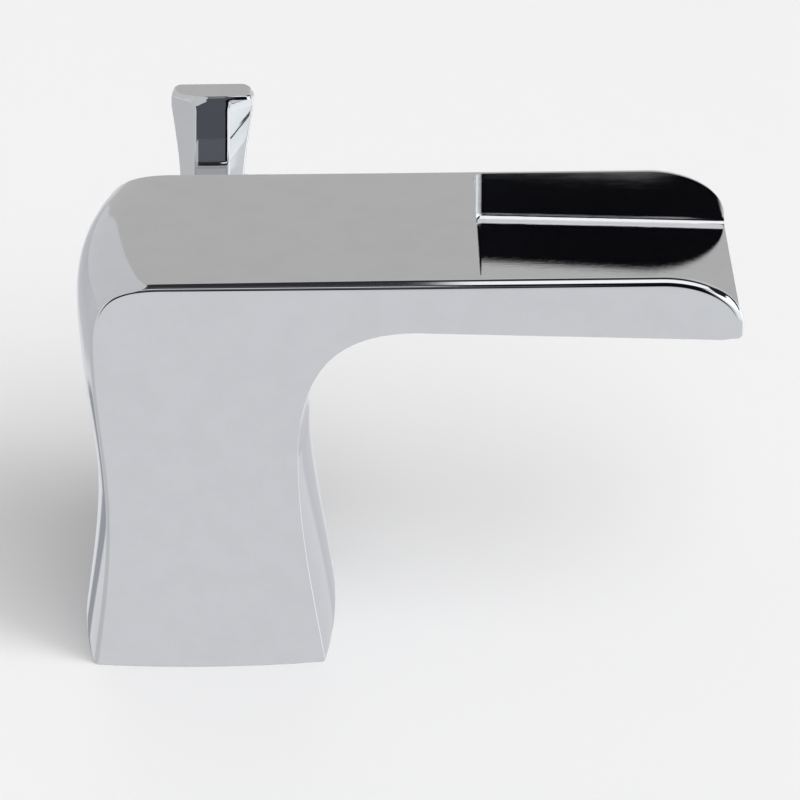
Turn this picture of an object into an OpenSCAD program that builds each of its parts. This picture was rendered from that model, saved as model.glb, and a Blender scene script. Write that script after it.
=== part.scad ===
// Single lever basin mixer with an open trough spout.
// Millimetres. +X points along the spout, +Y to the side that carries the handle, +Z up.
// The origin lies on the deck, at the centre of the column's foot.

/* [Column] */
// Height of the flat top above the deck
body_height = 110; // [104:1:120]
// Depth of the body between its two flat side faces
body_depth = 58.6; // [57:0.1:62]
// Length of the foot at the side faces
foot_length = 58.6; // [56:0.1:64]
// Distance from the column's axis to its back edge at the waist
waist_back = 24.1; // [23.6:0.1:25.5]
// Distance from the column's axis to its front edge at the waist
waist_front = 23.6; // [23.2:0.1:25.5]
// Height of the narrowest place of the back edge
waist_back_height = 48; // [44:1:52]
// Height of the narrowest place of the front edge
waist_front_height = 58; // [54:1:61]
// Distance from the column's axis to its back edge at the shoulder
shoulder_back = 25.9; // [25.6:0.1:27.5]
// Drop from the top to where the shoulder bend starts
shoulder_drop = 20; // [18:0.5:23]
// Length of the shoulder bend along the top
shoulder_run = 18; // [16:0.5:21]
// Outward crown of the front face at mid depth
front_crown = 2.6; // [1.5:0.1:3.2]
// Outward crown of the back face at mid depth
back_crown = 3.6; // [2:0.1:4.2]
// Outward crown of the back face at the shoulder
shoulder_crown = 6; // [3:0.1:6.5]
// Outward crown of the side faces at the foot
side_crown = 1.7; // [0.5:0.1:2.2]
// Height over which the crown of the side faces fades out
side_crown_height = 40; // [30:1:42]
// Rounding of the long edges
edge_r = 1.6; // [0.8:0.1:2]
// Rounding of the long edges at the front and under the spout
under_edge_r = 0.6; // [0.4:0.1:1.6]

/* [Spout] */
// Reach from the column's axis to the tip
spout_reach = 132.2; // [124:0.1:150]
// Thickness of the spout where the throat ends
spout_depth = 14.1; // [13.5:0.1:16]
// Distance from the column's axis to the end of the throat
throat_end = 53; // [49:0.5:56]
// Fall of the underside and of the trough floor, in degrees
spout_fall = 2.2; // [1.5:0.1:2.6]
// Distance from the column's axis to the trough's back wall
trough_start = 68.3; // [64:0.1:75]
// Thickness of the trough's side walls
trough_wall = 2.4; // [1.8:0.1:3]
// Thickness of the trough's floor
trough_floor = 2.1; // [1.8:0.1:3]
// Corner radius of the trough in plan
trough_corner_r = 2.6; // [1.5:0.1:4]
// Length of the rounded nose of the side walls
nose_length = 20.2; // [16:0.1:24]
// Drop of the rounded nose of the side walls
nose_drop = 13; // [10:0.1:13.5]

/* [Water ways] */
// Width of the flat channel in the spout
channel_width = 44; // [38:0.5:46]
// Height of the flat channel in the spout
channel_height = 7; // [5.5:0.1:7.4]
// Step from the trough floor up to the channel
channel_step = 0.4; // [0.2:0.1:0.8]
// Diameter of the outlet's rising bore
riser_d = 8.4; // [7:0.1:9]
// Diameter of the two inlet bores
inlet_bore_d = 6.4; // [5:0.1:6.6]
// Distance between the two inlet bores
inlet_spacing = 17; // [16.4:0.1:18]
// Distance of the inlet bores from the mid plane, on the side away from the handle
inlet_offset = 6; // [5.5:0.1:7]
// Distance of the riser from the mid plane, on the side away from the handle
riser_offset = 12; // [11.8:0.1:13]

/* [Foot] */
// Length of the cavity in the foot
foot_cavity_length = 41; // [36:0.5:42]
// Depth of the cavity in the foot
foot_cavity_depth = 43; // [38:0.5:44]
// Height of the cavity in the foot
foot_cavity_height = 30; // [24:1:32]
// Tapping diameter of the inlet threads (M10 x 1)
inlet_thread_d = 9; // [8.6:0.1:9.4]
// Length of the inlet threads
inlet_thread_length = 12; // [8:1:13]
// Tapping diameter of the stud thread (M8)
stud_thread_d = 6.8; // [6.4:0.1:7.2]
// Length of the stud thread
stud_thread_length = 11; // [8:1:11.5]
// Distance of the stud from the mid plane, on the handle's side
stud_offset = 10; // [8:0.5:12]
// Width of the gasket's strip
gasket_width = 2.6; // [2:0.1:2.8]
// Thickness of the gasket
gasket_thickness = 2; // [1.5:0.1:3]
// Width of the hollow behind the side face away from the handle
hollow_length = 38; // [30:1:39]
// Thickness of the hollow behind that face
hollow_depth = 6.6; // [4:0.1:6.8]
// Wall between that face and its hollow
hollow_wall = 4.6; // [4.4:0.1:5.5]
// Height of the hollow's top
hollow_top = 86; // [70:1:88]

/* [Cartridge] */
// Distance of the handle's axis in front of the column's axis
handle_x = 2.2; // [1.8:0.1:2.4]
// Height of the handle's axis
handle_z = 64; // [62:0.5:66]
// Outer diameter of the cartridge
cartridge_d = 34.6; // [34:0.1:35]
// Wall of the cartridge housing
housing_wall = 1.9; // [1.6:0.1:2.1]
// Depth of the cartridge pocket below the side face
pocket_depth = 28; // [27.6:0.1:28.6]
// Clearance of the cartridge in its pocket, on the radius
pocket_gap = 0.4; // [0.3:0.1:0.5]
// Diameter of the threaded mouth of the pocket
mouth_d = 37; // [36.6:0.1:37.4]
// Clearance of the nut in the mouth, on the radius
nut_gap = 0.1; // [0.05:0.01:0.15]
// Diameter of the inlet ports of the cartridge
inlet_port_d = 5; // [4.4:0.1:5.2]
// Half distance between the inlet ports
inlet_port_x = 5.6; // [5.5:0.05:5.8]
// Rise of the inlet ports above the axis
inlet_port_rise = 3.2; // [2.9:0.1:3.4]
// Diameter of the outlet port of the cartridge
outlet_port_d = 6; // [5:0.1:6.2]
// Drop of the outlet port below the axis
outlet_port_drop = 7; // [6.8:0.1:7.4]
// Thickness of the fixed disc
fixed_disc_thickness = 3.8; // [3.4:0.1:3.8]
// Thickness of the moving disc
moving_disc_thickness = 3.8; // [3.4:0.1:3.8]
// Diameter of the moving disc
moving_disc_d = 22; // [21.6:0.1:22.2]
// Distance from the pivot to the ball of the spindle
ball_arm = 13; // [12.8:0.1:13.2]
// Diameter of the ball of the spindle
ball_d = 5.6; // [5.2:0.1:5.8]
// Width across the flats of the square spindle
spindle_square = 7; // [6.6:0.1:7.2]
// Diameter of the pivot pin
pin_d = 3; // [2.6:0.1:3.2]

/* [Handle] */
// Full tilt of the lever, in degrees
tilt_range = 24; // [20:1:24]
// Outer radius of the dome
dome_r = 19; // [18.8:0.1:19.1]
// Wall of the dome
dome_wall = 1.6; // [1.2:0.1:1.7]
// Half angle of the dome's opening, in degrees
dome_opening = 38.5; // [38.5:0.1:40]
// Gap between the dome and the hub
hub_gap = 0.4; // [0.4:0.05:0.6]
// Wall of the hub
hub_wall = 2.8; // [2.4:0.1:3]
// Half angle of the hub's shell, in degrees
hub_angle = 62; // [58:0.5:62]
// Height of the lever's top above the handle's axis
lever_height = 63.5; // [56:0.5:75]
// Gap between the body's side face and the front of the lever
lever_gap = 7.7; // [7:0.1:9]
// Depth of the lever's cap
cap_depth = 8.2; // [7.4:0.1:9]
// Width of the lever's cap
cap_width = 20.8; // [18:0.1:24]
// Width of the lever at its neck
neck_width = 15.6; // [14:0.1:17]
// Width of the stem along the lever
stem_width = 8.8; // [8:0.1:10]
// Diameter of the grub screw (M4)
grub_d = 4; // [3.6:0.1:4]
// Length of the grub screw
grub_length = 5; // [4:0.1:5.2]
// Diameter of the index plug
plug_d = 6.2; // [5.4:0.1:6.6]

/* [Hidden] */

// Smoothness of true circles
$fn = 96;
// Overshoot of cutting shapes
cut = 1;
// Gap that keeps two faces of different pieces apart
film = 0.05;
// Easy fit between moulded pieces, on the radius
easy = 0.2;
// Running gap between the turning pieces of the cartridge
run_gap = 0.3;

half_depth = body_depth / 2;
pocket_floor = half_depth - pocket_depth;
shoulder_height = body_height - shoulder_drop;
throat_height = body_height - spout_depth;
throat_start_height = waist_front_height;
shoulder_end = shoulder_run - shoulder_back;
nose_start = spout_reach - nose_length;
fall_slope = tan(spout_fall);

// Height of the underside and of the trough floor over a place along the spout
function under_z(x) = throat_height - fall_slope * (x - throat_end);
function floor_z(x) = under_z(x) + trough_floor;

// Stages of the cartridge, measured from the pocket's floor towards the handle
base_flange = 1.6;
base_top = 4;
seal_squash = 0.2;
groove_depth = 1.3;
seal_width = 1.5;
groove_gap = 0.2;
fixed_disc_s = base_top + seal_squash;
moving_disc_s = fixed_disc_s + fixed_disc_thickness + film;
carrier_s = moving_disc_s + moving_disc_thickness + film;
carrier_thickness = 4.7;
carrier_wall = 0.4;
rail_depth = 1.4;
rail_x = 8.4;
rail_width = 1.6;
turret_s = carrier_s + carrier_thickness + run_gap;
turret_flange = 3;
lip_s = turret_s + turret_flange + run_gap;
lip_thickness = 2.2;
pivot_s = pocket_depth;
neck_rise = 3;
turret_rise = 5;
neck_top_s = pivot_s + neck_rise;
turret_top_s = pivot_s + turret_rise;
shoulder_s = lip_s + lip_thickness;
slip_ring_thickness = 0.6;
nut_s = shoulder_s + slip_ring_thickness;
nut_head = 3;

cartridge_r = cartridge_d / 2;
housing_inner_r = cartridge_r - housing_wall;
fixed_disc_r = housing_inner_r - pocket_gap;
moving_disc_r = moving_disc_d / 2;
turret_flange_r = housing_inner_r - 2 * easy;
turret_neck_r = 9.6;
lip_bore_r = turret_neck_r + run_gap;
neck_outer_r = 12.2;
ring_outer_r = 13.5;
stop_outer_r = 13.4;
pin_length = 2 * (turret_neck_r - easy);
half_tilt = tilt_range / 2;
disc_shift = ball_arm * sin(half_tilt);
pocket_shift = 2.5;
mixing_pocket_r = 6.8;
locating_pin_d = 3.8;
locating_pin_length = 3;
locating_pin_x = 12.8;
locating_pin_y = 3.5;

// Places of the ports in the cartridge's own frame, where -y is up
inlet_ports = [[-inlet_port_x, -inlet_port_rise], [inlet_port_x, -inlet_port_rise]];
outlet_port = [0, outlet_port_drop];
inlet_seal_offset = 1.1;
outlet_seal_offset = 1.5;
inlet_seal_r = inlet_port_d / 2 + inlet_seal_offset;
outlet_seal_r = outlet_port_d / 2 + outlet_seal_offset;

// Inlet bores in the body stand symmetrically about this place
inlet_shift = 1;
inlet_centre = handle_x - inlet_shift;
inlet_bores = [inlet_centre - inlet_spacing / 2, inlet_centre + inlet_spacing / 2];

// Hub and lever
dome_inner_r = dome_r - dome_wall;
hub_inner_r = dome_r + hub_gap;
hub_outer_r = hub_inner_r + hub_wall;
boss_r = 6.6;
boss_start = 12;
spindle_cover = 1.7;
spindle_end = hub_outer_r - spindle_cover;
square_gap = 0.1;
grub_place = 15;
grub_start = spindle_square / 2 + square_gap;
plug_inset = 0.1;

// Runs a piece's own frame along the handle's axis, from the pocket's floor outwards
module at_axis() {
    translate([handle_x, pocket_floor, handle_z])
        rotate([-90, 0, 0])
            children();
}

// Puts a piece at the pivot, tilted as the closed spindle is
module at_spindle() {
    at_axis()
        translate([0, 0, pivot_s])
            rotate([half_tilt, 0, 0])
                children();
}

// A ring about the piece's own axis, with flat ends
module flat_ring(inner_r, outer_r, from_s, to_s) {
    translate([0, 0, from_s])
        difference() {
            cylinder(h = to_s - from_s, r = outer_r);
            translate([0, 0, -cut])
                cylinder(h = to_s - from_s + 2 * cut, r = inner_r);
        }
}

// A straight hole or rod between two stages
module rod(r, from_s, to_s) {
    translate([0, 0, from_s])
        cylinder(h = to_s - from_s, r = r);
}

// An O-ring about the piece's own axis
module o_ring(ring_r, cord_r, s) {
    translate([0, 0, s])
        rotate_extrude()
            translate([ring_r, 0])
                circle(r = cord_r, $fn = 32);
}

// Point of a cubic curve with four poles
function curve(p, t) =
    p[0] * pow(1 - t, 3) + p[1] * 3 * t * pow(1 - t, 2)
    + p[2] * 3 * t * t * (1 - t) + p[3] * pow(t, 3);
function run(p, from, to, count) =
    [for (i = [1:count]) curve(p, from + (to - from) * i / count)];
function straight(a, b, count) = [for (i = [1:count]) a + (b - a) * i / count];

// Poles of the curves of the side view
foot_back_pull_in = 2.2;
foot_back_pull_up = 14;
waist_back_pull_down = 18;
waist_back_pull_up = 15;
shoulder_pull_down = 17;
shoulder_pull_below_top = 5;
shoulder_pull_in = 3.6;
foot_front_pull_in = 2;
foot_front_pull_up = 17;
waist_front_pull_down = 22;
throat_pull_in = 0.1;
throat_pull_below = 11;
throat_pull_out = 9;
back_low = [
    [-foot_length / 2, 0],
    [-foot_length / 2 + foot_back_pull_in, foot_back_pull_up],
    [-waist_back, waist_back_height - waist_back_pull_down],
    [-waist_back, waist_back_height]
];
back_high = [
    [-waist_back, waist_back_height],
    [-waist_back, waist_back_height + waist_back_pull_up],
    [-shoulder_back, shoulder_height - shoulder_pull_down],
    [-shoulder_back, shoulder_height]
];
shoulder = [
    [-shoulder_back, shoulder_height],
    [-shoulder_back, body_height - shoulder_pull_below_top],
    [-shoulder_back + shoulder_pull_in, body_height],
    [shoulder_end, body_height]
];
front_low = [
    [foot_length / 2, 0],
    [foot_length / 2 - foot_front_pull_in, foot_front_pull_up],
    [waist_front, throat_start_height - waist_front_pull_down],
    [waist_front, throat_start_height]
];
throat = [
    [waist_front, throat_start_height],
    [waist_front - throat_pull_in, throat_height - throat_pull_below],
    [waist_front + throat_pull_out, throat_height],
    [throat_end, throat_height]
];

// Stations along the body: the foot, the waist, the shoulder, the top, the nose
low_steps = 9;
high_steps = 7;
bend_steps = 10;
top_steps = 4;
nose_steps = 9;
high_share = 0.3;
bend_share = 0.82;
tip_outer_z = body_height - nose_drop;

outer_line = concat(
    [back_low[0]],
    run(back_low, 0, 1, low_steps),
    run(back_high, 0, 1, high_steps),
    run(shoulder, 0, 1, bend_steps),
    straight([shoulder_end, body_height], [throat_end, body_height], top_steps),
    straight([throat_end, body_height], [nose_start, body_height], 1),
    [for (i = [1:nose_steps])
        [nose_start + nose_length * sin(90 * i / nose_steps),
         tip_outer_z + nose_drop * cos(90 * i / nose_steps)]]
);
inner_line = concat(
    [front_low[0]],
    run(front_low, 0, 1, low_steps),
    run(throat, 0, high_share, high_steps),
    run(throat, high_share, bend_share, bend_steps),
    run(throat, bend_share, 1, top_steps),
    [[nose_start, under_z(nose_start)]],
    [for (i = [1:nose_steps])
        let (x = nose_start + nose_length * sin(90 * i / nose_steps))
            [x, under_z(x)]]
);
last_station = len(outer_line) - 1;

// Crown of the two faces at each station
function fade(i, from, to) = i <= from ? 0 : i >= to ? 1 : (i - from) / (to - from);
bend_from = low_steps + high_steps;
bend_to = bend_from + bend_steps;
flat_from = bend_to + top_steps;
function outer_crown(i) =
    (back_crown + (shoulder_crown - back_crown) * pow(fade(i, low_steps, bend_to), 0.8))
    * (1 - fade(i, bend_to, flat_from));
function inner_crown(i) = front_crown * pow(1 - fade(i, low_steps, bend_to), 1.5);

// Outward direction of a line at a station, level along the column
function unit(v) = v / norm(v);
function tangent(line, i) = unit(line[min(i + 1, last_station)] - line[max(i - 1, 0)]);
function outer_way(i) =
    i <= flat_from ? [-1, 0] : let (t = tangent(outer_line, i)) [-t[1], t[0]];
function inner_way(i) =
    i <= low_steps ? [1, 0] : let (t = tangent(inner_line, i)) [t[1], -t[0]];

// Crown of the side faces over a place in the side view
function side_bulge(p) =
    side_crown * max(0, 1 - pow(2 * p[0] / foot_length, 2)) * pow(max(0, 1 - p[1] / side_crown_height), 2);

// One cross-section of the body: a rounded rectangle with crowned sides
crown_steps = 8;
side_steps = 4;
arc_share = 1 - sqrt(0.5);
function at_depth(p, y) = [p[0], y, p[1]];
function crowned(p, way, crown, side, r) =
    [for (k = [0:crown_steps])
        let (share = side * (2 * k / crown_steps - 1))
            at_depth(p + way * crown * (1 - pow(share, 2)), share * (half_depth - r))];
function along_side(a, b, side) =
    [for (k = [0:side_steps])
        let (p = a + (b - a) * k / side_steps)
            at_depth(p, side * (half_depth + side_bulge(p)))];
function section(i) =
    let (
        a = outer_line[i],
        b = inner_line[i],
        e = unit(b - a),
        a_in = a + e * edge_r,
        b_in = b - e * under_edge_r,
        a_mid = a + e * edge_r * arc_share,
        b_mid = b - e * under_edge_r * arc_share,
        a_half = half_depth - edge_r * arc_share,
        b_half = half_depth - under_edge_r * arc_share
    )
    concat(
        crowned(a, outer_way(i), outer_crown(i), 1, edge_r),
        [at_depth(a_mid, a_half)],
        along_side(a_in, b_in, 1),
        [at_depth(b_mid, b_half)],
        crowned(b, inner_way(i), inner_crown(i), -1, under_edge_r),
        [at_depth(b_mid, -b_half)],
        along_side(b_in, a_in, -1),
        [at_depth(a_mid, -a_half)]
    );

// A closed skin through a row of rings with the same number of points
function mean(ring) = [for (axis = [0:2]) sum([for (p = ring) p[axis]]) / len(ring)];
function sum(v, i = 0) = i == len(v) ? 0 : v[i] + sum(v, i + 1);
module skin(rings) {
    count = len(rings[0]);
    last = len(rings) - 1;
    points = concat([for (ring = rings) each ring], [mean(rings[0]), mean(rings[last])]);
    first_middle = (last + 1) * count;
    faces = [
        for (i = [0:last - 1], k = [0:count - 1])
            let (
                a = i * count + k,
                b = i * count + (k + 1) % count
            )
            each [[a, b, b + count], [a, b + count, a + count]],
        for (k = [0:count - 1])
            [(k + 1) % count, k, first_middle],
        for (k = [0:count - 1])
            [last * count + k, last * count + (k + 1) % count, first_middle + 1]
    ];
    polyhedron(points, faces, convexity = 6);
}

module outer_skin() {
    skin([for (i = [0:last_station]) section(i)]);
}

// The open trough: a cut with rounded corners at the back and a falling floor
module trough_cut() {
    half = half_depth - trough_wall;
    length = spout_reach - trough_start + cut;
    intersection() {
        translate([0, 0, throat_height - spout_depth])
            linear_extrude(height = 2 * spout_depth + cut)
                union() {
                    for (side = [-1, 1])
                        translate([trough_start + trough_corner_r, side * (half - trough_corner_r)])
                            circle(r = trough_corner_r);
                    translate([trough_start, -half + trough_corner_r])
                        square([length, 2 * (half - trough_corner_r)]);
                    translate([trough_start + trough_corner_r, -half])
                        square([length - trough_corner_r, 2 * half]);
                }
        rotate([90, 0, 0])
            linear_extrude(height = body_depth + 2 * cut, center = true)
                polygon([
                    [trough_start - cut, floor_z(trough_start - cut)],
                    [spout_reach + 2 * cut, floor_z(spout_reach + 2 * cut)],
                    [spout_reach + 2 * cut, body_height + 2 * cut],
                    [trough_start - cut, body_height + 2 * cut]
                ]);
    }
}

// Flat channel that feeds the trough through its back wall
channel_floor = floor_z(trough_start) + channel_step;
channel_back = 4;
channel_start = handle_x - riser_d / 2 - channel_back;
module channel_cut() {
    translate([channel_start, -channel_width / 2, channel_floor])
        cube([trough_start - channel_start + cut, channel_width, channel_height]);
}

// Bores that cross run a little past each other, as drilled ones do
overrun = 0.8;
module water_bores() {
    inlet_top = handle_z + inlet_port_rise + inlet_port_d / 2 + overrun;
    riser_bottom = handle_z - outlet_port_drop - outlet_port_d / 2 - overrun;
    for (i = [0, 1]) {
        translate([inlet_bores[i], -inlet_offset, foot_cavity_height - cut])
            cylinder(h = inlet_top - foot_cavity_height + cut, d = inlet_bore_d);
        at_axis()
            translate([inlet_ports[i][0], inlet_ports[i][1], -pocket_floor - inlet_offset - overrun])
                cylinder(h = pocket_floor + inlet_offset + overrun + cut, d = inlet_port_d);
    }
    at_axis()
        translate([outlet_port[0], outlet_port[1], -pocket_floor - riser_offset - overrun])
            cylinder(h = pocket_floor + riser_offset + overrun + cut, d = outlet_port_d);
    translate([handle_x, -riser_offset, riser_bottom])
        cylinder(h = channel_floor + cut - riser_bottom, d = riser_d);
}

module foot_cuts() {
    foot_corner_r = 5;
    translate([0, 0, -cut])
        linear_extrude(height = foot_cavity_height + cut)
            rounded_frame(foot_cavity_length, foot_cavity_depth, foot_corner_r);
    translate([-hollow_length / 2, -half_depth + hollow_wall, foot_cavity_height - cut])
        cube([hollow_length, hollow_depth, hollow_top - foot_cavity_height + cut]);
    for (x = inlet_bores)
        translate([x, -inlet_offset, foot_cavity_height - cut])
            cylinder(h = inlet_thread_length + cut, d = inlet_thread_d);
    translate([inlet_centre, stud_offset, foot_cavity_height - cut])
        cylinder(h = stud_thread_length + cut, d = stud_thread_d);
}

// Rectangle with round corners
module rounded_frame(length, depth, r) {
    for (x = [-1, 1], y = [-1, 1])
        translate([x * (length / 2 - r), y * (depth / 2 - r)])
            circle(r = r);
    square([length - 2 * r, depth], center = true);
    square([length, depth - 2 * r], center = true);
}

// The gasket lies in a groove round the cavity of the foot
gasket_inset = 2;
gasket_inner_length = foot_cavity_length + 2 * gasket_inset;
gasket_inner_depth = foot_cavity_depth + 2 * gasket_inset;
gasket_corner_r = 6;
module gasket_band(grow, height) {
    difference() {
        linear_extrude(height = height)
            rounded_frame(gasket_inner_length + 2 * (gasket_width + grow),
                          gasket_inner_depth + 2 * (gasket_width + grow),
                          gasket_corner_r + gasket_width + grow);
        translate([0, 0, -cut])
            linear_extrude(height = height + 2 * cut)
                rounded_frame(gasket_inner_length - 2 * grow, gasket_inner_depth - 2 * grow,
                              gasket_corner_r - grow);
    }
}

// Pocket for the cartridge, its threaded mouth and the holes for its locating pins
module cartridge_pocket() {
    at_axis() {
        rod(cartridge_r + pocket_gap, 0, pocket_depth + cut);
        rod(mouth_d / 2, shoulder_s - cut, pocket_depth + cut);
        for (side = [-1, 1])
            translate([side * locating_pin_x, locating_pin_y, -locating_pin_length - easy])
                cylinder(h = locating_pin_length + easy + cut, d = locating_pin_d + 2 * easy);
    }
}

module body_casting() {
    color("gainsboro")
        difference() {
            outer_skin();
            trough_cut();
            channel_cut();
            water_bores();
            foot_cuts();
            translate([0, 0, -cut])
                gasket_band(easy, gasket_thickness + cut);
            cartridge_pocket();
        }
}

module base_gasket() {
    color("dimgray")
        gasket_band(0, gasket_thickness);
}

// Comb in the mouth of the channel, with upright vanes between two rails
guide_length = 9;
guide_rail = 1;
guide_vane = 1;
guide_vanes = 9;
module flow_guide() {
    width = channel_width - 2 * easy;
    height = channel_height - easy;
    pitch = (width - guide_vane) / (guide_vanes + 1);
    color("whitesmoke")
        translate([trough_start - guide_length - channel_step, -width / 2, channel_floor])
            difference() {
                cube([guide_length, width, height]);
                for (i = [0:guide_vanes])
                    translate([-cut, guide_vane + i * pitch, guide_rail])
                        cube([guide_length + 2 * cut, pitch - guide_vane, height - 2 * guide_rail]);
            }
}

module port_ring(place, ring_r, from_s, to_s, width) {
    translate([place[0], place[1], 0])
        flat_ring(ring_r - width / 2, ring_r + width / 2, from_s, to_s);
}

top_groove = 0.9;
module cartridge_base() {
    groove = seal_width + 2 * groove_gap;
    color("ivory")
        at_axis()
            difference() {
                union() {
                    rod(cartridge_r, 0, base_flange);
                    rod(housing_inner_r - film, 0, base_top);
                    for (side = [-1, 1])
                        translate([side * locating_pin_x, locating_pin_y, -locating_pin_length])
                            cylinder(h = locating_pin_length + base_flange, d = locating_pin_d);
                }
                for (p = inlet_ports) {
                    translate([p[0], p[1], -cut])
                        cylinder(h = base_top + 2 * cut, d = inlet_port_d);
                    port_ring(p, inlet_seal_r, -cut, groove_depth, groove);
                    port_ring(p, inlet_seal_r, base_top - top_groove, base_top + cut, groove);
                }
                translate([outlet_port[0], outlet_port[1], -cut])
                    cylinder(h = base_top + 2 * cut, d = outlet_port_d);
                port_ring(outlet_port, outlet_seal_r, -cut, groove_depth, groove);
                port_ring(outlet_port, outlet_seal_r, base_top - top_groove, base_top + cut, groove);
            }
}

module inlet_port_seals() {
    color("black")
        at_axis()
            for (p = inlet_ports)
                port_ring(p, inlet_seal_r, 0, groove_depth, seal_width);
}

module outlet_port_seal() {
    color("black")
        at_axis()
            port_ring(outlet_port, outlet_seal_r, 0, groove_depth, seal_width);
}

module disc_seals() {
    color("black")
        at_axis() {
            for (p = inlet_ports)
                port_ring(p, inlet_seal_r, base_top - top_groove, fixed_disc_s, seal_width);
            port_ring(outlet_port, outlet_seal_r, base_top - top_groove, fixed_disc_s, seal_width);
        }
}

// Half angle of the fixed stops' places either side of the lug of the hot limit ring
stop_swing = 45;
lug_half = 10;
stop_play = 1;
stop_width = 20;
module sector(from_angle, to_angle, r) {
    steps = 6;
    polygon(concat([[0, 0]],
        [for (i = [0:steps])
            let (a = from_angle + (to_angle - from_angle) * i / steps)
                r / cos((to_angle - from_angle) / steps / 2) * [cos(a), sin(a)]]));
}

module ring_block(from_angle, to_angle, inner_r, outer_r, from_s, to_s) {
    intersection() {
        flat_ring(inner_r, outer_r, from_s, to_s);
        translate([0, 0, from_s])
            linear_extrude(height = to_s - from_s)
                sector(from_angle, to_angle, outer_r + cut);
    }
}

module cartridge_housing() {
    up = -90;
    stop_from = stop_swing + lug_half + stop_play;
    color("lightsteelblue")
        at_axis()
            difference() {
                union() {
                    rod(cartridge_r, base_flange, shoulder_s);
                    rod(neck_outer_r, base_flange, neck_top_s);
                    for (side = [-1, 1])
                        ring_block(up + side * stop_from, up + side * (stop_from + stop_width),
                                   neck_outer_r - cut, stop_outer_r, pivot_s, neck_top_s);
                }
                rod(housing_inner_r, base_flange - cut, lip_s);
                rod(lip_bore_r, 0, neck_top_s + cut);
            }
}

module fixed_disc() {
    color("seashell")
        at_axis()
            difference() {
                rod(fixed_disc_r, fixed_disc_s, fixed_disc_s + fixed_disc_thickness);
                for (p = inlet_ports)
                    translate([p[0], p[1], 0])
                        rod(inlet_port_d / 2, 0, moving_disc_s + cut);
                translate([outlet_port[0], outlet_port[1], 0])
                    rod(outlet_port_d / 2, 0, moving_disc_s + cut);
            }
}

// The moving disc and its carrier lie below the axis while the lever is closed
module moving_disc() {
    pocket_depth_in_disc = 2.2;
    color("mistyrose")
        at_axis()
            translate([0, disc_shift, 0])
                difference() {
                    rod(moving_disc_r, moving_disc_s, moving_disc_s + moving_disc_thickness);
                    translate([0, pocket_shift, 0])
                        rod(mixing_pocket_r, moving_disc_s - cut, moving_disc_s + pocket_depth_in_disc);
                }
}

module rails(width, depth, length, gap) {
    for (side = [-1, 1])
        translate([side * rail_x - width / 2, -length / 2, turret_s - gap - depth])
            cube([width, length, depth + gap + cut]);
}

module disc_carrier() {
    skirt = 1.5;
    ball_gap = 0.15;
    color("gold")
        at_axis()
            difference() {
                translate([0, disc_shift, 0])
                    union() {
                        rod(moving_disc_r + film + carrier_wall, carrier_s, carrier_s + carrier_thickness);
                        flat_ring(moving_disc_r + film, moving_disc_r + film + carrier_wall,
                                  carrier_s - skirt, carrier_s + cut);
                    }
                translate([0, disc_shift, 0])
                    rod(ball_d / 2 + ball_gap, carrier_s - cut, turret_s);
                rails(rail_width + 2 * easy, rail_depth + easy, 3 * moving_disc_r, 0);
            }
}

slot_half_x = spindle_square / 2 + run_gap;
slot_half_y = 6;
seal_groove_s = lip_s + 1.6;
seal_groove_width = 2.1;
seal_groove_r = 8;
module turret() {
    color("orange")
        at_axis()
            difference() {
                union() {
                    rod(turret_flange_r, turret_s, turret_s + turret_flange);
                    rod(turret_neck_r, turret_s, turret_top_s);
                    intersection() {
                        rails(rail_width, rail_depth, 2 * turret_flange_r, 0);
                        rod(turret_flange_r, turret_s - rail_depth, turret_s + cut);
                    }
                }
                translate([-slot_half_x, -slot_half_y, turret_s - cut])
                    cube([2 * slot_half_x, 2 * slot_half_y, turret_top_s - turret_s + 2 * cut]);
                flat_ring(seal_groove_r, turret_neck_r + cut,
                          seal_groove_s, seal_groove_s + seal_groove_width);
                translate([-turret_neck_r - cut, 0, pivot_s])
                    rotate([0, 90, 0])
                        cylinder(h = 2 * (turret_neck_r + cut), d = pin_d + 2 * film);
            }
}

module turret_seal() {
    cord_r = 0.9;
    color("black")
        at_axis()
            o_ring(lip_bore_r - film - cord_r, cord_r, seal_groove_s + seal_groove_width / 2);
}

module spindle() {
    shaft_d = 5.2;
    block_from = -4;
    color("goldenrod")
        at_spindle()
            difference() {
                union() {
                    translate([0, 0, -ball_arm])
                        sphere(d = ball_d);
                    rod(shaft_d / 2 - easy, -ball_arm, block_from + cut);
                    translate([-spindle_square / 2, -spindle_square / 2, block_from])
                        cube([spindle_square, spindle_square, spindle_end - block_from]);
                }
                translate([-spindle_square, 0, 0])
                    rotate([0, 90, 0])
                        cylinder(h = 2 * spindle_square, d = pin_d + 2 * film);
            }
}

module spindle_pin() {
    color("silver")
        at_axis()
            translate([-pin_length / 2, 0, pivot_s])
                rotate([0, 90, 0])
                    cylinder(h = pin_length, d = pin_d);
}

// Hot limit ring: sits on the turret's neck, its lug hangs down between the fixed stops
module temperature_ring() {
    up = -90;
    ring_s = neck_top_s + run_gap;
    lug_drop = 2;
    color("tomato")
        at_axis() {
            flat_ring(turret_neck_r + film, ring_outer_r, ring_s, turret_top_s);
            ring_block(up - lug_half, up + lug_half, neck_outer_r + run_gap, ring_outer_r,
                       ring_s - lug_drop, ring_s + cut);
        }
}

module slip_ring() {
    color("whitesmoke")
        at_axis()
            flat_ring(neck_outer_r + 2 * easy, cartridge_r, shoulder_s, nut_s);
}

nut_head_gap = 0.8;
nut_bore_gap = 0.5;
nut_head_r = dome_inner_r - nut_head_gap;
nut_bore_r = ring_outer_r + nut_bore_gap;
dome_seal_cord = 0.85;
dome_seal_s = 1.4;
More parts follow.
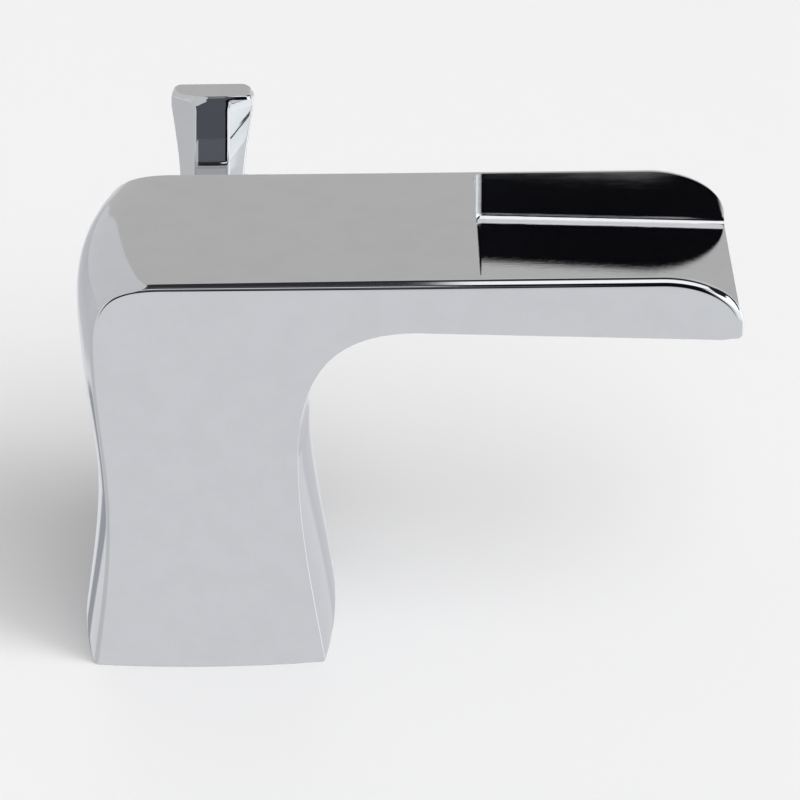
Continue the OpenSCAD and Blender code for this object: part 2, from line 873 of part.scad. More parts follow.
// The ring's cord just meets the dome from inside
dome_seal_r = sqrt(pow(dome_inner_r - dome_seal_cord - film, 2) - pow(dome_seal_s, 2));
module retaining_nut() {
    notch_width = 5;
    notch_depth = 0.5;
    color("darkgoldenrod")
        at_axis()
            difference() {
                union() {
                    rod(mouth_d / 2 - nut_gap, nut_s, pivot_s);
                    rod(nut_head_r, nut_s, pivot_s + nut_head);
                }
                rod(nut_bore_r, nut_s - cut, pivot_s + nut_head + cut);
                for (turn = [0:60:120])
                    rotate([0, 0, turn])
                        translate([-dome_r, -notch_width / 2, pivot_s + nut_head - notch_depth])
                            cube([2 * dome_r, notch_width, notch_depth + cut]);
                o_ring(dome_seal_r, dome_seal_cord + film, pivot_s + dome_seal_s);
            }
}

module dome_seal() {
    color("black")
        at_axis()
            o_ring(dome_seal_r, dome_seal_cord, pivot_s + dome_seal_s);
}

module dome_cap() {
    color("gainsboro")
        at_axis()
            translate([0, 0, pivot_s])
                difference() {
                    sphere(r = dome_r);
                    sphere(r = dome_inner_r);
                    translate([0, 0, -2 * dome_r])
                        cylinder(h = 2 * dome_r, r = 2 * dome_r);
                    cylinder(h = dome_r + cut, r1 = 0, r2 = (dome_r + cut) * tan(dome_opening));
                }
}

// The lever's levels, as [height above the axis, share of the cap's plan, inset of the cap's edge].
// Below the cap it is a round stem in front of two wings that slant back, with a flat back.
lever_steps = 9;
lever_root = 13;
root_clear = 0.6;
root_front = hub_inner_r * cos(hub_angle) + root_clear;
root_depth = 8.6;
stem_crown = 0.4;
stem_round = 1.3;
wing_root = 2.2;
wing_end = 1.3;
wing_edge = 0.4;
wing_bevel = 0.9;
cap_plate = 2;
cap_cove = 0.7;
cap_edge = 0.4;
cap_bow = 0.2;
cap_left_corner = 3;
cap_right_corner = 1.4;
cap_under = lever_height - cap_plate;
lever_levels = concat(
    [[lever_height, 1, cap_edge], [lever_height - cap_edge, 1, 0], [cap_under + cap_cove, 1, 0]],
    [for (k = [lever_steps:-1:0]) [lever_root + (cap_under - lever_root) * k / lever_steps, 0, 0]]
);
function flare(t) = t * t * (1.6 - 0.6 * t);
function lever_half(t) =
    neck_width / 2 + (cap_width - neck_width) / 2 * flare(max(0, 2 * t - 1));
function lever_outline(level) =
    let (
        t = (level[0] - lever_root) / (lever_height - lever_root),
        w = lever_half(t) - level[2],
        s = stem_width / 2,
        front = root_front + (lever_gap - root_front) * pow(t, 0.7) + level[2],
        back = front + root_depth + (cap_depth - root_depth) * t - 2 * level[2],
        tip = back - wing_end,
        wing = front + wing_root,
        cl = cap_left_corner,
        cr = cap_right_corner,
        half_way = [(w + s) / 2, (tip + wing) / 2],
        back_edge = [
            [w - wing_bevel, back - wing_edge], [s, back],
            [-s, back], [-w + wing_bevel, back - wing_edge]
        ],
        slim = concat([
            [-w, tip], [-half_way[0], half_way[1]], [-s, wing],
            [-s * 0.85, front + stem_round], [-s * 0.5, front + stem_crown], [0, front],
            [s * 0.5, front + stem_crown], [s * 0.85, front + stem_round],
            [s, wing], half_way, [w, tip]
        ], back_edge),
        full = concat([
            [-w, front + cl], [-w + 0.3 * cl, front + 0.3 * cl], [-w + cl, front + cap_bow],
            [-s * 0.85, front + cap_bow / 2], [-s * 0.5, front], [0, front],
            [s * 0.5, front], [s * 0.85, front + cap_bow / 2],
            [w - cr, front + cap_bow], [w - 0.3 * cr, front + 0.3 * cr], [w, front + cr]
        ], back_edge)
    )
    [for (i = [0:len(slim) - 1]) slim[i] + (full[i] - slim[i]) * level[1]];

module lever() {
    skin([
        for (level = lever_levels)
            [for (p = lever_outline(level))
                [handle_x + p[0], half_depth + p[1], handle_z + level[0]]]
    ]);
}

module handle() {
    color("gainsboro")
        difference() {
            union() {
                at_axis()
                    translate([0, 0, pivot_s])
                        intersection() {
                            sphere(r = hub_outer_r);
                            cylinder(h = hub_outer_r + cut, r1 = 0,
                                     r2 = (hub_outer_r + cut) * tan(hub_angle));
                        }
                lever();
            }
            difference() {
                at_axis()
                    translate([0, 0, pivot_s])
                        sphere(r = hub_inner_r);
                at_spindle()
                    rod(boss_r, boss_start, hub_inner_r + cut);
            }
            at_spindle() {
                translate([-spindle_square / 2 - square_gap, -spindle_square / 2 - square_gap, boss_start - cut])
                    cube([spindle_square + 2 * square_gap, spindle_square + 2 * square_gap,
                          spindle_end + easy - boss_start + cut]);
                translate([0, 0, grub_place])
                    rotate([0, -90, 0]) {
                        cylinder(h = boss_r + cut, d = grub_d + 2 * film);
                        translate([0, 0, boss_r + cut / 2])
                            cylinder(h = hub_outer_r, d = plug_d + 2 * film);
                    }
            }
        }
}

module grub_screw() {
    socket_d = 2.3;
    socket_depth = 2;
    color("dimgray")
        at_spindle()
            translate([0, 0, grub_place])
                rotate([0, -90, 0])
                    difference() {
                        rod(grub_d / 2, grub_start, grub_start + grub_length);
                        translate([0, 0, grub_start + grub_length - socket_depth])
                            cylinder(h = socket_depth + cut, d = socket_d, $fn = 6);
                    }
}

// Press-in plug that follows the hub inside and out
module index_plug() {
    color("firebrick")
        at_spindle()
            difference() {
                intersection() {
                    translate([0, 0, grub_place])
                        rotate([0, -90, 0])
                            rod(plug_d / 2, boss_r, hub_outer_r);
                    sphere(r = hub_outer_r - plug_inset);
                }
                sphere(r = hub_inner_r + plug_inset);
            }
}

body_casting();
base_gasket();
flow_guide();
cartridge_base();
inlet_port_seals();
outlet_port_seal();
disc_seals();
cartridge_housing();
fixed_disc();
moving_disc();
disc_carrier();
turret();
turret_seal();
spindle();
spindle_pin();
temperature_ring();
slip_ring();
retaining_nut();
dome_seal();
dome_cap();
handle();
grub_screw();
index_plug();
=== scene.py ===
import math

import bmesh
import bpy
from bpy.props import FloatProperty, FloatVectorProperty, IntProperty, PointerProperty
from mathutils import Matrix, Vector


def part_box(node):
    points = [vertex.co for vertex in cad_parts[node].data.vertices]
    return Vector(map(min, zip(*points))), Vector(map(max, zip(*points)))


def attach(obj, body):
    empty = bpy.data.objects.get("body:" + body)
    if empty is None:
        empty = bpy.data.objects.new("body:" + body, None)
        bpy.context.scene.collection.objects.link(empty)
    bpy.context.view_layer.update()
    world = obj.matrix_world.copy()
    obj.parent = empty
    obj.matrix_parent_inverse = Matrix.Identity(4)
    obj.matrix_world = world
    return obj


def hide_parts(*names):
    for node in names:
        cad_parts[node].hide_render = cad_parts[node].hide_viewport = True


bl_info = {
    "name": "Waterfall basin mixer",
    "version": (1, 0, 0),
    "blender": (4, 5, 0),
    "location": "3D View > Sidebar > Mixer",
    "description": "Builds a chromed single lever mixer with an open trough spout round its packed parts",
    "category": "Object",
}

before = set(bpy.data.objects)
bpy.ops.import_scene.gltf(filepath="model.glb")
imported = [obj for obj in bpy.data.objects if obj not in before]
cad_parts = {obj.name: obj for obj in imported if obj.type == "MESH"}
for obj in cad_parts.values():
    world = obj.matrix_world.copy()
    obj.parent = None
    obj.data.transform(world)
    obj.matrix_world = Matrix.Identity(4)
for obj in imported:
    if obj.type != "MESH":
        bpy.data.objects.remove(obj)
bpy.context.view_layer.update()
MM = 0.001
TINY = 1e-6
# Steps of a full turn, the least turn in radians at a crease, and the angle of a sharp edge
TURN_STEPS, CREASE, SHARP = 128, 0.5, math.radians(32)
# Depth of the cartridge's pocket, and the screw's place along the spindle
POCKET_DEPTH, SCREW_PLACE = 28 * MM, 15 * MM
CASTING_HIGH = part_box("body_casting")[1]
HANDLE_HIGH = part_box("handle")[1]
DOME_LOW, DOME_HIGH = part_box("dome_cap")


# Sizes and colours


def length(name, description, default):
    return FloatProperty(name=name, description=description, default=default, unit="LENGTH")


def angle(name, description, degrees):
    return FloatProperty(name=name, description=description, default=math.radians(degrees),
                         subtype="ANGLE", unit="ROTATION")


def paint(name, description, default):
    return FloatVectorProperty(name=name, description=description, default=default, size=3,
                               min=0, max=1, subtype="COLOR")


def strength(name, description, default):
    return FloatProperty(name=name, description=description, default=default, min=0)


class MixerBody(bpy.types.PropertyGroup):
    """Sizes of the casting"""

    height: length("Height", "Height of the flat top above the deck", CASTING_HIGH.z)
    depth: length("Depth", "Depth between the two flat side faces", 58.6 * MM)
    foot: length("Foot length", "Length of the foot at the side faces", 58.6 * MM)
    waist_back: length("Back waist", "Distance from the axis to the back edge at the waist", 24.1 * MM)
    waist_front: length("Front waist", "Distance from the axis to the front edge at the waist",
                        23.6 * MM)
    shoulder_back: length("Shoulder", "Distance from the axis to the back edge at the shoulder",
                          25.9 * MM)
    reach: length("Reach", "Distance from the axis to the tip of the spout", CASTING_HIGH.x)
    spout_depth: length("Spout thickness", "Thickness of the spout where the throat ends", 14.1 * MM)
    throat_end: length("Throat end", "Distance from the axis to the end of the throat", 53 * MM)
    fall: angle("Fall", "Fall of the underside and of the trough's floor", 2.2)
    front_crown: length("Front crown", "Outward crown of the front face", 2.6 * MM)
    back_crown: length("Back crown", "Outward crown of the back face at the waist", 3.6 * MM)
    shoulder_crown: length("Shoulder crown", "Outward crown of the back face where the top begins",
                           6 * MM)
    side_crown: length("Side crown", "Outward crown of the side faces at the foot", 1.7 * MM)
    edge: length("Edge rounding", "Rounding of the long edges behind and above", 1.7 * MM)
    under_edge: length("Lower edge rounding", "Rounding of the long edges in front and below", 0.6 * MM)
    trough_start: length("Trough start", "Distance from the axis to the trough's back wall", 68.3 * MM)
    trough_wall: length("Trough wall", "Thickness of the trough's side walls", 2.1 * MM)
    trough_floor: length("Trough floor", "Thickness of the trough's floor", 2.1 * MM)
    trough_corner: length("Trough corner", "Rounding of the trough's upright back corners", 2.6 * MM)
    trough_fillet: length("Trough fillet", "Rounding along the edges of the trough's floor", 1.6 * MM)
    nose_length: length("Nose length", "Length of the rounded nose of the side walls", 20.2 * MM)
    nose_drop: length("Nose drop", "Drop of the rounded nose of the side walls", 13 * MM)
    channel_width: length("Channel width", "Width of the flat channel behind the trough", 44 * MM)
    channel_height: length("Channel height", "Height of the flat channel behind the trough", 7 * MM)
    vanes: IntProperty(
        name="Cells", description="Number of cells of the comb in the channel's mouth",
        default=10, min=2, max=20)


class MixerHandle(bpy.types.PropertyGroup):
    """Sizes of the lever and of the dome below it"""

    along: length("Axis along", "Distance of the lever's axis in front of the column's",
                  (DOME_LOW.x + DOME_HIGH.x) / 2)
    level: length("Axis height", "Height of the lever's axis above the deck",
                  (DOME_LOW.z + DOME_HIGH.z) / 2)
    top: length("Lever top", "Height of the lever's top above the deck", HANDLE_HIGH.z)
    dome: length("Dome radius", "Outer radius of the dome", 19 * MM)
    dome_wall: length("Dome wall", "Wall of the dome", 1.6 * MM)
    dome_opening: angle("Dome opening", "Half angle of the dome's opening", 38.5)
    hub_inner: length("Hub inner radius", "Inner radius of the hub's shell", 19.4 * MM)
    hub_outer: length("Hub outer radius", "Outer radius of the hub's shell", 22.2 * MM)
    hub_angle: angle("Hub angle", "Half angle of the hub's shell", 62)
    rest_tilt: angle("Tilt at rest", "Upward tilt of the spindle while the lever is closed", 12)
    gap: length("Lever gap", "Gap between the side face and the front of the lever", 7.7 * MM)
    lever_depth: length("Lever depth", "Depth of the lever's cap", 8.2 * MM)
    neck: length("Neck width", "Width of the lever at its neck", 16.2 * MM)
    flare: length("Flare width", "Width of the lever at its widest place", 20.9 * MM)
    stem: length("Stem width", "Width of the stem that stands in front of the wings", 9.3 * MM)
    lean: angle("Lean", "Sideways lean of the lever", 1.7)
    plug: length("Plug diameter", "Diameter of the plug over the screw hole", 6.2 * MM)


class MixerFinish(bpy.types.PropertyGroup):
    """Colours of the finishes"""

    chrome: paint("Chrome", "Colour of the polished chrome", (0.655, 0.662, 0.675))
    brass: paint("Brass", "Colour of the machined brass", (0.72, 0.52, 0.25))
    steel: paint("Steel", "Colour of the screw and the pin", (0.5, 0.5, 0.51))
    rubber: paint("Rubber", "Colour of the seals", (0.03, 0.03, 0.03))
    white: paint("White plastic", "Colour of the comb and the slip ring", (0.8, 0.8, 0.78))
    cartridge: paint("Cartridge", "Colour of the cartridge's housing", (0.55, 0.6, 0.66))
    carrier: paint("Carrier", "Colour of the turret and the carrier", (0.8, 0.55, 0.2))
    ring: paint("Limit ring", "Colour of the hot limit ring", (0.7, 0.12, 0.08))
    index: paint("Plug", "Colour of the plug over the screw hole", (0.12, 0.13, 0.15))
    ceramic: paint("Ceramic", "Colour of the discs", (0.88, 0.86, 0.82))


class MixerStage(bpy.types.PropertyGroup):
    """Camera, floor and light"""

    elevation: angle("Elevation", "How far the camera looks down", 30.94)
    azimuth: angle("Azimuth", "Turn of the camera about the upright axis", -0.494)
    roll: angle("Roll", "Roll of the camera about its line of sight", -0.42)
    distance: length("Distance", "Distance from the camera to what it looks at", 0.9355)
    target: FloatVectorProperty(
        name="Target", description="The place that the camera looks at",
        default=(0.04913, 0, 0.05991), size=3, subtype="TRANSLATION", unit="LENGTH")
    lens: FloatProperty(
        name="Lens", description="Focal length of the camera, in its own millimetres",
        default=166.3)
    floor: paint("Floor", "Colour of the floor", (0.84, 0.84, 0.845))
    room_light: strength("Room light", "Strength of the even light from all sides", 0.47)
    key_light: strength("Key light", "Strength of the wide soft light from the right", 1.82)
    fill_light: strength("Fill light", "Strength of the wide soft light from the front right", 1.32)


# Shader maths


class Value:
    """A node's output that can be used in Python expressions."""

    def __init__(self, tree, socket):
        self.tree = tree
        self.socket = socket

    def math(self, operation, *others):
        values = {i: v for i, v in enumerate((self,) + others)}
        return self.tree.node("ShaderNodeMath", {"operation": operation}, values)

    def __add__(self, other):
        return self.math("ADD", other)

    __radd__ = __add__

    def __sub__(self, other):
        return self.math("SUBTRACT", other)

    def __rsub__(self, other):
        return self.tree.node("ShaderNodeMath", {"operation": "SUBTRACT"}, {0: other, 1: self})

    def __mul__(self, other):
        return self.math("MULTIPLY", other)

    __rmul__ = __mul__

    def step(self, start, end):
        """Rises smoothly from 0 to 1 between two values."""
        return self.tree.node(
            "ShaderNodeMapRange", {"interpolation_type": "SMOOTHSTEP", "clamp": True},
            {"Value": self, "From Min": start, "From Max": end})

    def band(self, start, end, soft):
        """1 between two values, 0 outside."""
        return self.step(start - soft, start + soft) * (1 - self.step(end - soft, end + soft))


class Shader:
    """The node tree of one material or world."""

    def __init__(self, owner):
        owner.use_nodes = True
        self.owner = owner
        self.nodes = owner.node_tree.nodes
        self.links = owner.node_tree.links
        self.nodes.clear()

    def node(self, kind, settings=None, inputs=None, output=0):
        """Adds any node: its settings first, then the values or links of its sockets."""
        new = self.nodes.new(kind)
        for name, value in (settings or {}).items():
            setattr(new, name, value)
        for name, value in (inputs or {}).items():
            if isinstance(value, Value):
                self.links.new(value.socket, new.inputs[name])
            elif value is not None:
                new.inputs[name].default_value = value
        return Value(self, new.outputs[output]) if len(new.outputs) else new

    def place(self):
        return self.node("ShaderNodeTexCoord", output="Object")

    def scaled(self, scale):
        return self.node("ShaderNodeMapping", {"vector_type": "POINT"},
                         {"Vector": self.place(), "Scale": scale})

    def noise(self, scale, detail=2.0, roughness=0.5, vector=None):
        return self.node("ShaderNodeTexNoise", {"noise_dimensions": "3D"},
                         {"Vector": vector or self.place(), "Scale": scale,
                          "Detail": detail, "Roughness": roughness})

    def mix(self, factor, first, second):
        kind = {"data_type": "RGBA", "blend_type": "MIX", "clamp_factor": True}
        return self.node("ShaderNodeMix", kind, {0: factor, 6: first, 7: second}, output=2)

    def layers(self, colour, *layers):
        """Lays colours over a first one, each where its mask is 1."""
        for mask, over in layers:
            colour = self.mix(mask, colour, rgba(over))
        return colour

    def bump(self, height, strength, distance):
        return self.node("ShaderNodeBump", None,
                         {"Height": height, "Strength": strength, "Distance": distance})

    def surface(self, **sockets):
        """The Principled shader with the given sockets, whose names have _ for a space."""
        names = {name.replace("_", " "): value for name, value in sockets.items()}
        bsdf = self.node("ShaderNodeBsdfPrincipled", None, names)
        self.node("ShaderNodeOutputMaterial", None, {"Surface": bsdf})
        return self.owner


def new_shader(name):
    return Shader(bpy.data.materials.new(name))


def rgba(colour, factor=1.0):
    return (colour[0] * factor, colour[1] * factor, colour[2] * factor, 1.0)


def grained(shader, grain, tint, rough, rise, **others):
    """A surface with a grain: rough is its least and its spread, rise the bump's two values."""
    return shader.surface(Base_Color=tint, Roughness=rough[0] + grain * rough[1],
                          Normal=shader.bump(grain, *rise), **others)


def chrome(name, colour, dull=0.035, brushed=False):
    """Chrome plate: a mirror with faint polishing waves and a few finer wipe marks."""
    shader = new_shader(name)
    haze = shader.noise(130.0, 4.0, 0.6)
    tint = shader.mix(haze.step(0.35, 0.7), rgba(colour), rgba(colour, 0.975))
    if brushed:
        lines = shader.noise(1.0, 5.0, 0.75, shader.scaled((18.0, 2600.0, 2600.0)))
        rough = 0.018 + lines * 0.034
        normal = shader.bump(lines, 0.18, 0.00006)
    else:
        rough = dull + haze * 0.02
        normal = shader.bump(shader.noise(38.0, 1.0), 0.05, 0.0004)
    return shader.surface(Base_Color=tint, Metallic=1.0, Roughness=rough, Normal=normal)


def satin_highlight_edge(name, colour):
    """The filed edge of the trough, less polished than the faces, in a brighter colour than their chrome:
    the brighter colour is a painted highlight along the rim.
    """
    shader = new_shader(name)
    file_marks = shader.noise(1.0, 3.0, 0.6, shader.scaled((300.0, 2500.0, 2500.0)))
    tint = shader.mix(file_marks, rgba(colour), rgba(colour, 0.94))
    return grained(shader, file_marks, tint, (0.24, 0.16), (0.2, 0.00005), Metallic=1.0)


def brass(name, colour):
    """Bare cast brass with fine grain and darker patches."""
    shader = new_shader(name)
    patches = shader.noise(90.0, 3.0)
    grain = shader.noise(2200.0, 2.0)
    tint = shader.mix(patches.step(0.35, 0.7), rgba(colour), rgba(colour, 0.72))
    return grained(shader, grain, tint, (0.26, 0.2), (0.25, 0.0001), Metallic=1.0)


def turned_metal(name, colour, centre):
    """Turned metal: fine rings about the handle's axis."""
    shader = new_shader(name)
    vector = shader.node("ShaderNodeMapping", {"vector_type": "POINT"},
                         {"Vector": shader.place(), "Location": (-centre.x, 0.0, -centre.z)})
    rings = shader.node("ShaderNodeTexWave",
                        {"wave_type": "RINGS", "rings_direction": "Y", "wave_profile": "SIN"},
                        {"Vector": vector, "Scale": 900.0, "Distortion": 0.6, "Detail": 2.0})
    stain = shader.noise(160.0, 3.0)
    tint = shader.mix(stain.step(0.4, 0.75), rgba(colour), rgba(colour, 0.8))
    return shader.surface(Base_Color=tint, Metallic=1.0, Roughness=0.2 + stain * 0.15,
                          Normal=shader.bump(rings, 0.15, 0.00005))


def moulded(name, colour, rough, shine=0.0):
    """Moulded plastic: a fine skin and slight mottling."""
    shader = new_shader(name)
    skin = shader.noise(1500.0, 3.0, 0.6)
    tint = shader.mix(shader.noise(120.0, 2.0), rgba(colour), rgba(colour, 0.86))
    return grained(shader, skin, tint, (rough, 0.12), (0.2, 0.00008), Coat_Weight=shine)


def rubber(name, colour):
    """Matt rubber with dust in its pores."""
    shader = new_shader(name)
    pores = shader.noise(2600.0, 4.0, 0.65)
    dust = shader.noise(210.0, 3.0).step(0.45, 0.8) * 0.5
    tint = shader.mix(dust, rgba(colour), rgba((0.12, 0.115, 0.11)))
    return grained(shader, pores, tint, (0.62, 0.25), (0.4, 0.00012))


def ceramic(name, colour):
    """Lapped alumina: nearly even, with faint lapping marks."""
    shader = new_shader(name)
    marks = shader.noise(3200.0, 2.0)
    tint = shader.mix(shader.noise(75.0, 3.0), rgba(colour), rgba(colour, 0.93))
    return grained(shader, marks, tint, (0.16, 0.14), (0.08, 0.00004))


# Mesh helpers


def mm(*values):
    """Millimetres as metres."""
    return tuple(value * MM for value in values)


def clamped(t):
    """The value itself between 0 and 1, and the nearer end outside."""
    return min(1.0, max(0.0, t))


def sheet(bm, rows, columns, place):
    """A grid whose point at (row, column) goes where place says."""
    made = bmesh.ops.create_grid(bm, x_segments=columns, y_segments=rows, size=0.5)
    for vert in made["verts"]:
        row = round((vert.co.y + 0.5) * rows)
        column = round((vert.co.x + 0.5) * columns)
        vert.co = place(row, column)


def box_cutter(bm, low, high):
    """A block between two corners."""
    low, high = Vector(low), Vector(high)
    made = bmesh.ops.create_cube(bm, size=1.0)
    bmesh.ops.scale(bm, vec=high - low, verts=made["verts"])
    bmesh.ops.translate(bm, vec=(low + high) / 2, verts=made["verts"])


def round_edges(bm, chosen, offset, segments, material=-1):
    bmesh.ops.bevel(
        bm, geom=chosen, offset=offset, offset_type="OFFSET", segments=segments, profile=0.5,
        affect="EDGES", clamp_overlap=True, loop_slide=True, material=material)


def upright(edge):
    step = edge.verts[0].co - edge.verts[1].co
    return abs(step.z) > 0.9 * step.length


def creased(edge):
    return len(edge.link_faces) == 2 and edge.calc_face_angle(0.0) > CREASE


def turned(name, material, matrix, profile):
    """Turns a closed profile of (radius, height) about Z and puts it in place by a matrix."""
    bm = bmesh.new()
    verts = [bm.verts.new((radius, 0.0, height)) for radius, height in profile]
    edges = [bm.edges.new((verts[i - 1], verts[i])) for i in range(len(verts))]
    bmesh.ops.spin(
        bm, geom=verts + edges, cent=(0, 0, 0), axis=(0, 0, 1), dvec=(0, 0, 0),
        angle=math.tau, steps=TURN_STEPS, use_merge=True, use_duplicate=False)
    bmesh.ops.remove_doubles(bm, verts=bm.verts, dist=1e-7)
    bmesh.ops.dissolve_degenerate(bm, edges=bm.edges, dist=1e-7)
    bmesh.ops.transform(bm, matrix=matrix, verts=bm.verts)
    return to_object(bm, name, material)


def polar(reach, turn):
    """A point of (radius, height) by its distance from a centre and its angle from the axis."""
    return reach * math.sin(turn), reach * math.cos(turn)


def arc(radius, start, end, count):
    """Points of (radius, height) on a ball, between two angles from the axis."""
    return [polar(radius, start + (end - start) * i / count) for i in range(count + 1)]


def block(name, material, low, high, corner=0.0, segments=0, matrix=None):
    """A block between two corners, with its upright edges rounded, put in place by a matrix."""
    bm = bmesh.new()
    box_cutter(bm, low, high)
    if corner:
        round_edges(bm, [edge for edge in bm.edges if upright(edge)], corner, segments)
    if matrix:
        bmesh.ops.transform(bm, matrix=matrix, verts=bm.verts)
    return to_object(bm, name, material)


def rods(name, material, matrix, segments, *places):
    """Round rods along a matrix's Z, each given as (radius, start, end, x, y)."""
    bm = bmesh.new()
    for radius, start, end, x, y in places:
        made = bmesh.ops.create_cone(
            bm, cap_ends=True, segments=segments, radius1=radius, radius2=radius, depth=end - start)
        bmesh.ops.translate(bm, vec=(0, 0, (start + end) / 2), verts=made["verts"])
        spot = matrix @ Matrix.Translation((x, y, 0))
        bmesh.ops.transform(bm, matrix=spot, verts=made["verts"])
    return to_object(bm, name, material)


def ball(material, matrix, radius, around, up):
    """A ball put in place by a matrix, to cut with."""
    bm = bmesh.new()
    bmesh.ops.create_uvsphere(bm, u_segments=around, v_segments=up, radius=radius)
    bmesh.ops.transform(bm, matrix=matrix, verts=bm.verts)
    return to_object(bm, "ball_cutter", material)


def to_object(bm, name, material, outward=True):
    """Makes an object of a finished bmesh, with its place in its mesh."""
    if outward:
        bmesh.ops.recalc_face_normals(bm, faces=bm.faces)
    mesh = bpy.data.meshes.new(name)
    bm.to_mesh(mesh)
    bm.free()
    mesh.materials.append(material)
    new = bpy.data.objects.new(name, mesh)
    bpy.context.scene.collection.objects.link(new)
    return new


def carve(target, cutter, operation="DIFFERENCE"):
    """Joins, cuts or keeps what two closed pieces share, and removes the second."""
    change = target.modifiers.new("Carve", "BOOLEAN")
    change.object = cutter
    change.operation = operation
    change.solver = "EXACT"
    change.material_mode = "TRANSFER"
    settled(target)
    bpy.data.objects.remove(cutter)


def settled(target):
    """Applies all modifiers of an object."""
    graph = bpy.context.evaluated_depsgraph_get()
    mesh = bpy.data.meshes.new_from_object(target.evaluated_get(graph))
    target.modifiers.clear()
    old = target.data
    target.data = mesh
    mesh.name = target.name
    bpy.data.meshes.remove(old)


def shaded(target):
    """Smooth faces, sharp at real edges, with flat faces kept flat."""
    target.data.shade_smooth()
    target.data.set_sharp_from_angle(angle=SHARP)
    keep = target.modifiers.new("Weighted Normal", "WEIGHTED_NORMAL")
    keep.mode = "FACE_AREA"
    keep.weight = 50
    keep.keep_sharp = True
    return target


def chamfer_where(target, test, offset, segments, material=-1):
    """Bevels the edges of a mesh that a test picks, and says how many."""
    bm = bmesh.new()
    bm.from_mesh(target.data)
    chosen = [edge for edge in bm.edges if test(edge)]
    round_edges(bm, chosen, offset, segments, material)
    bm.to_mesh(target.data)
    bm.free()
    return len(chosen)


def mount_piece(piece, body, slot, *nodes):
    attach(piece, body)
    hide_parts(*nodes)


# The casting's side view


def smooth(t):
    return t * t * (3 - 2 * t)


def cubic(poles, t):
    a, b, c, d = (Vector(p) * MM for p in poles)
    u = 1 - t
    return a * u ** 3 + b * 3 * t * u * u + c * 3 * t * t * u + d * t ** 3


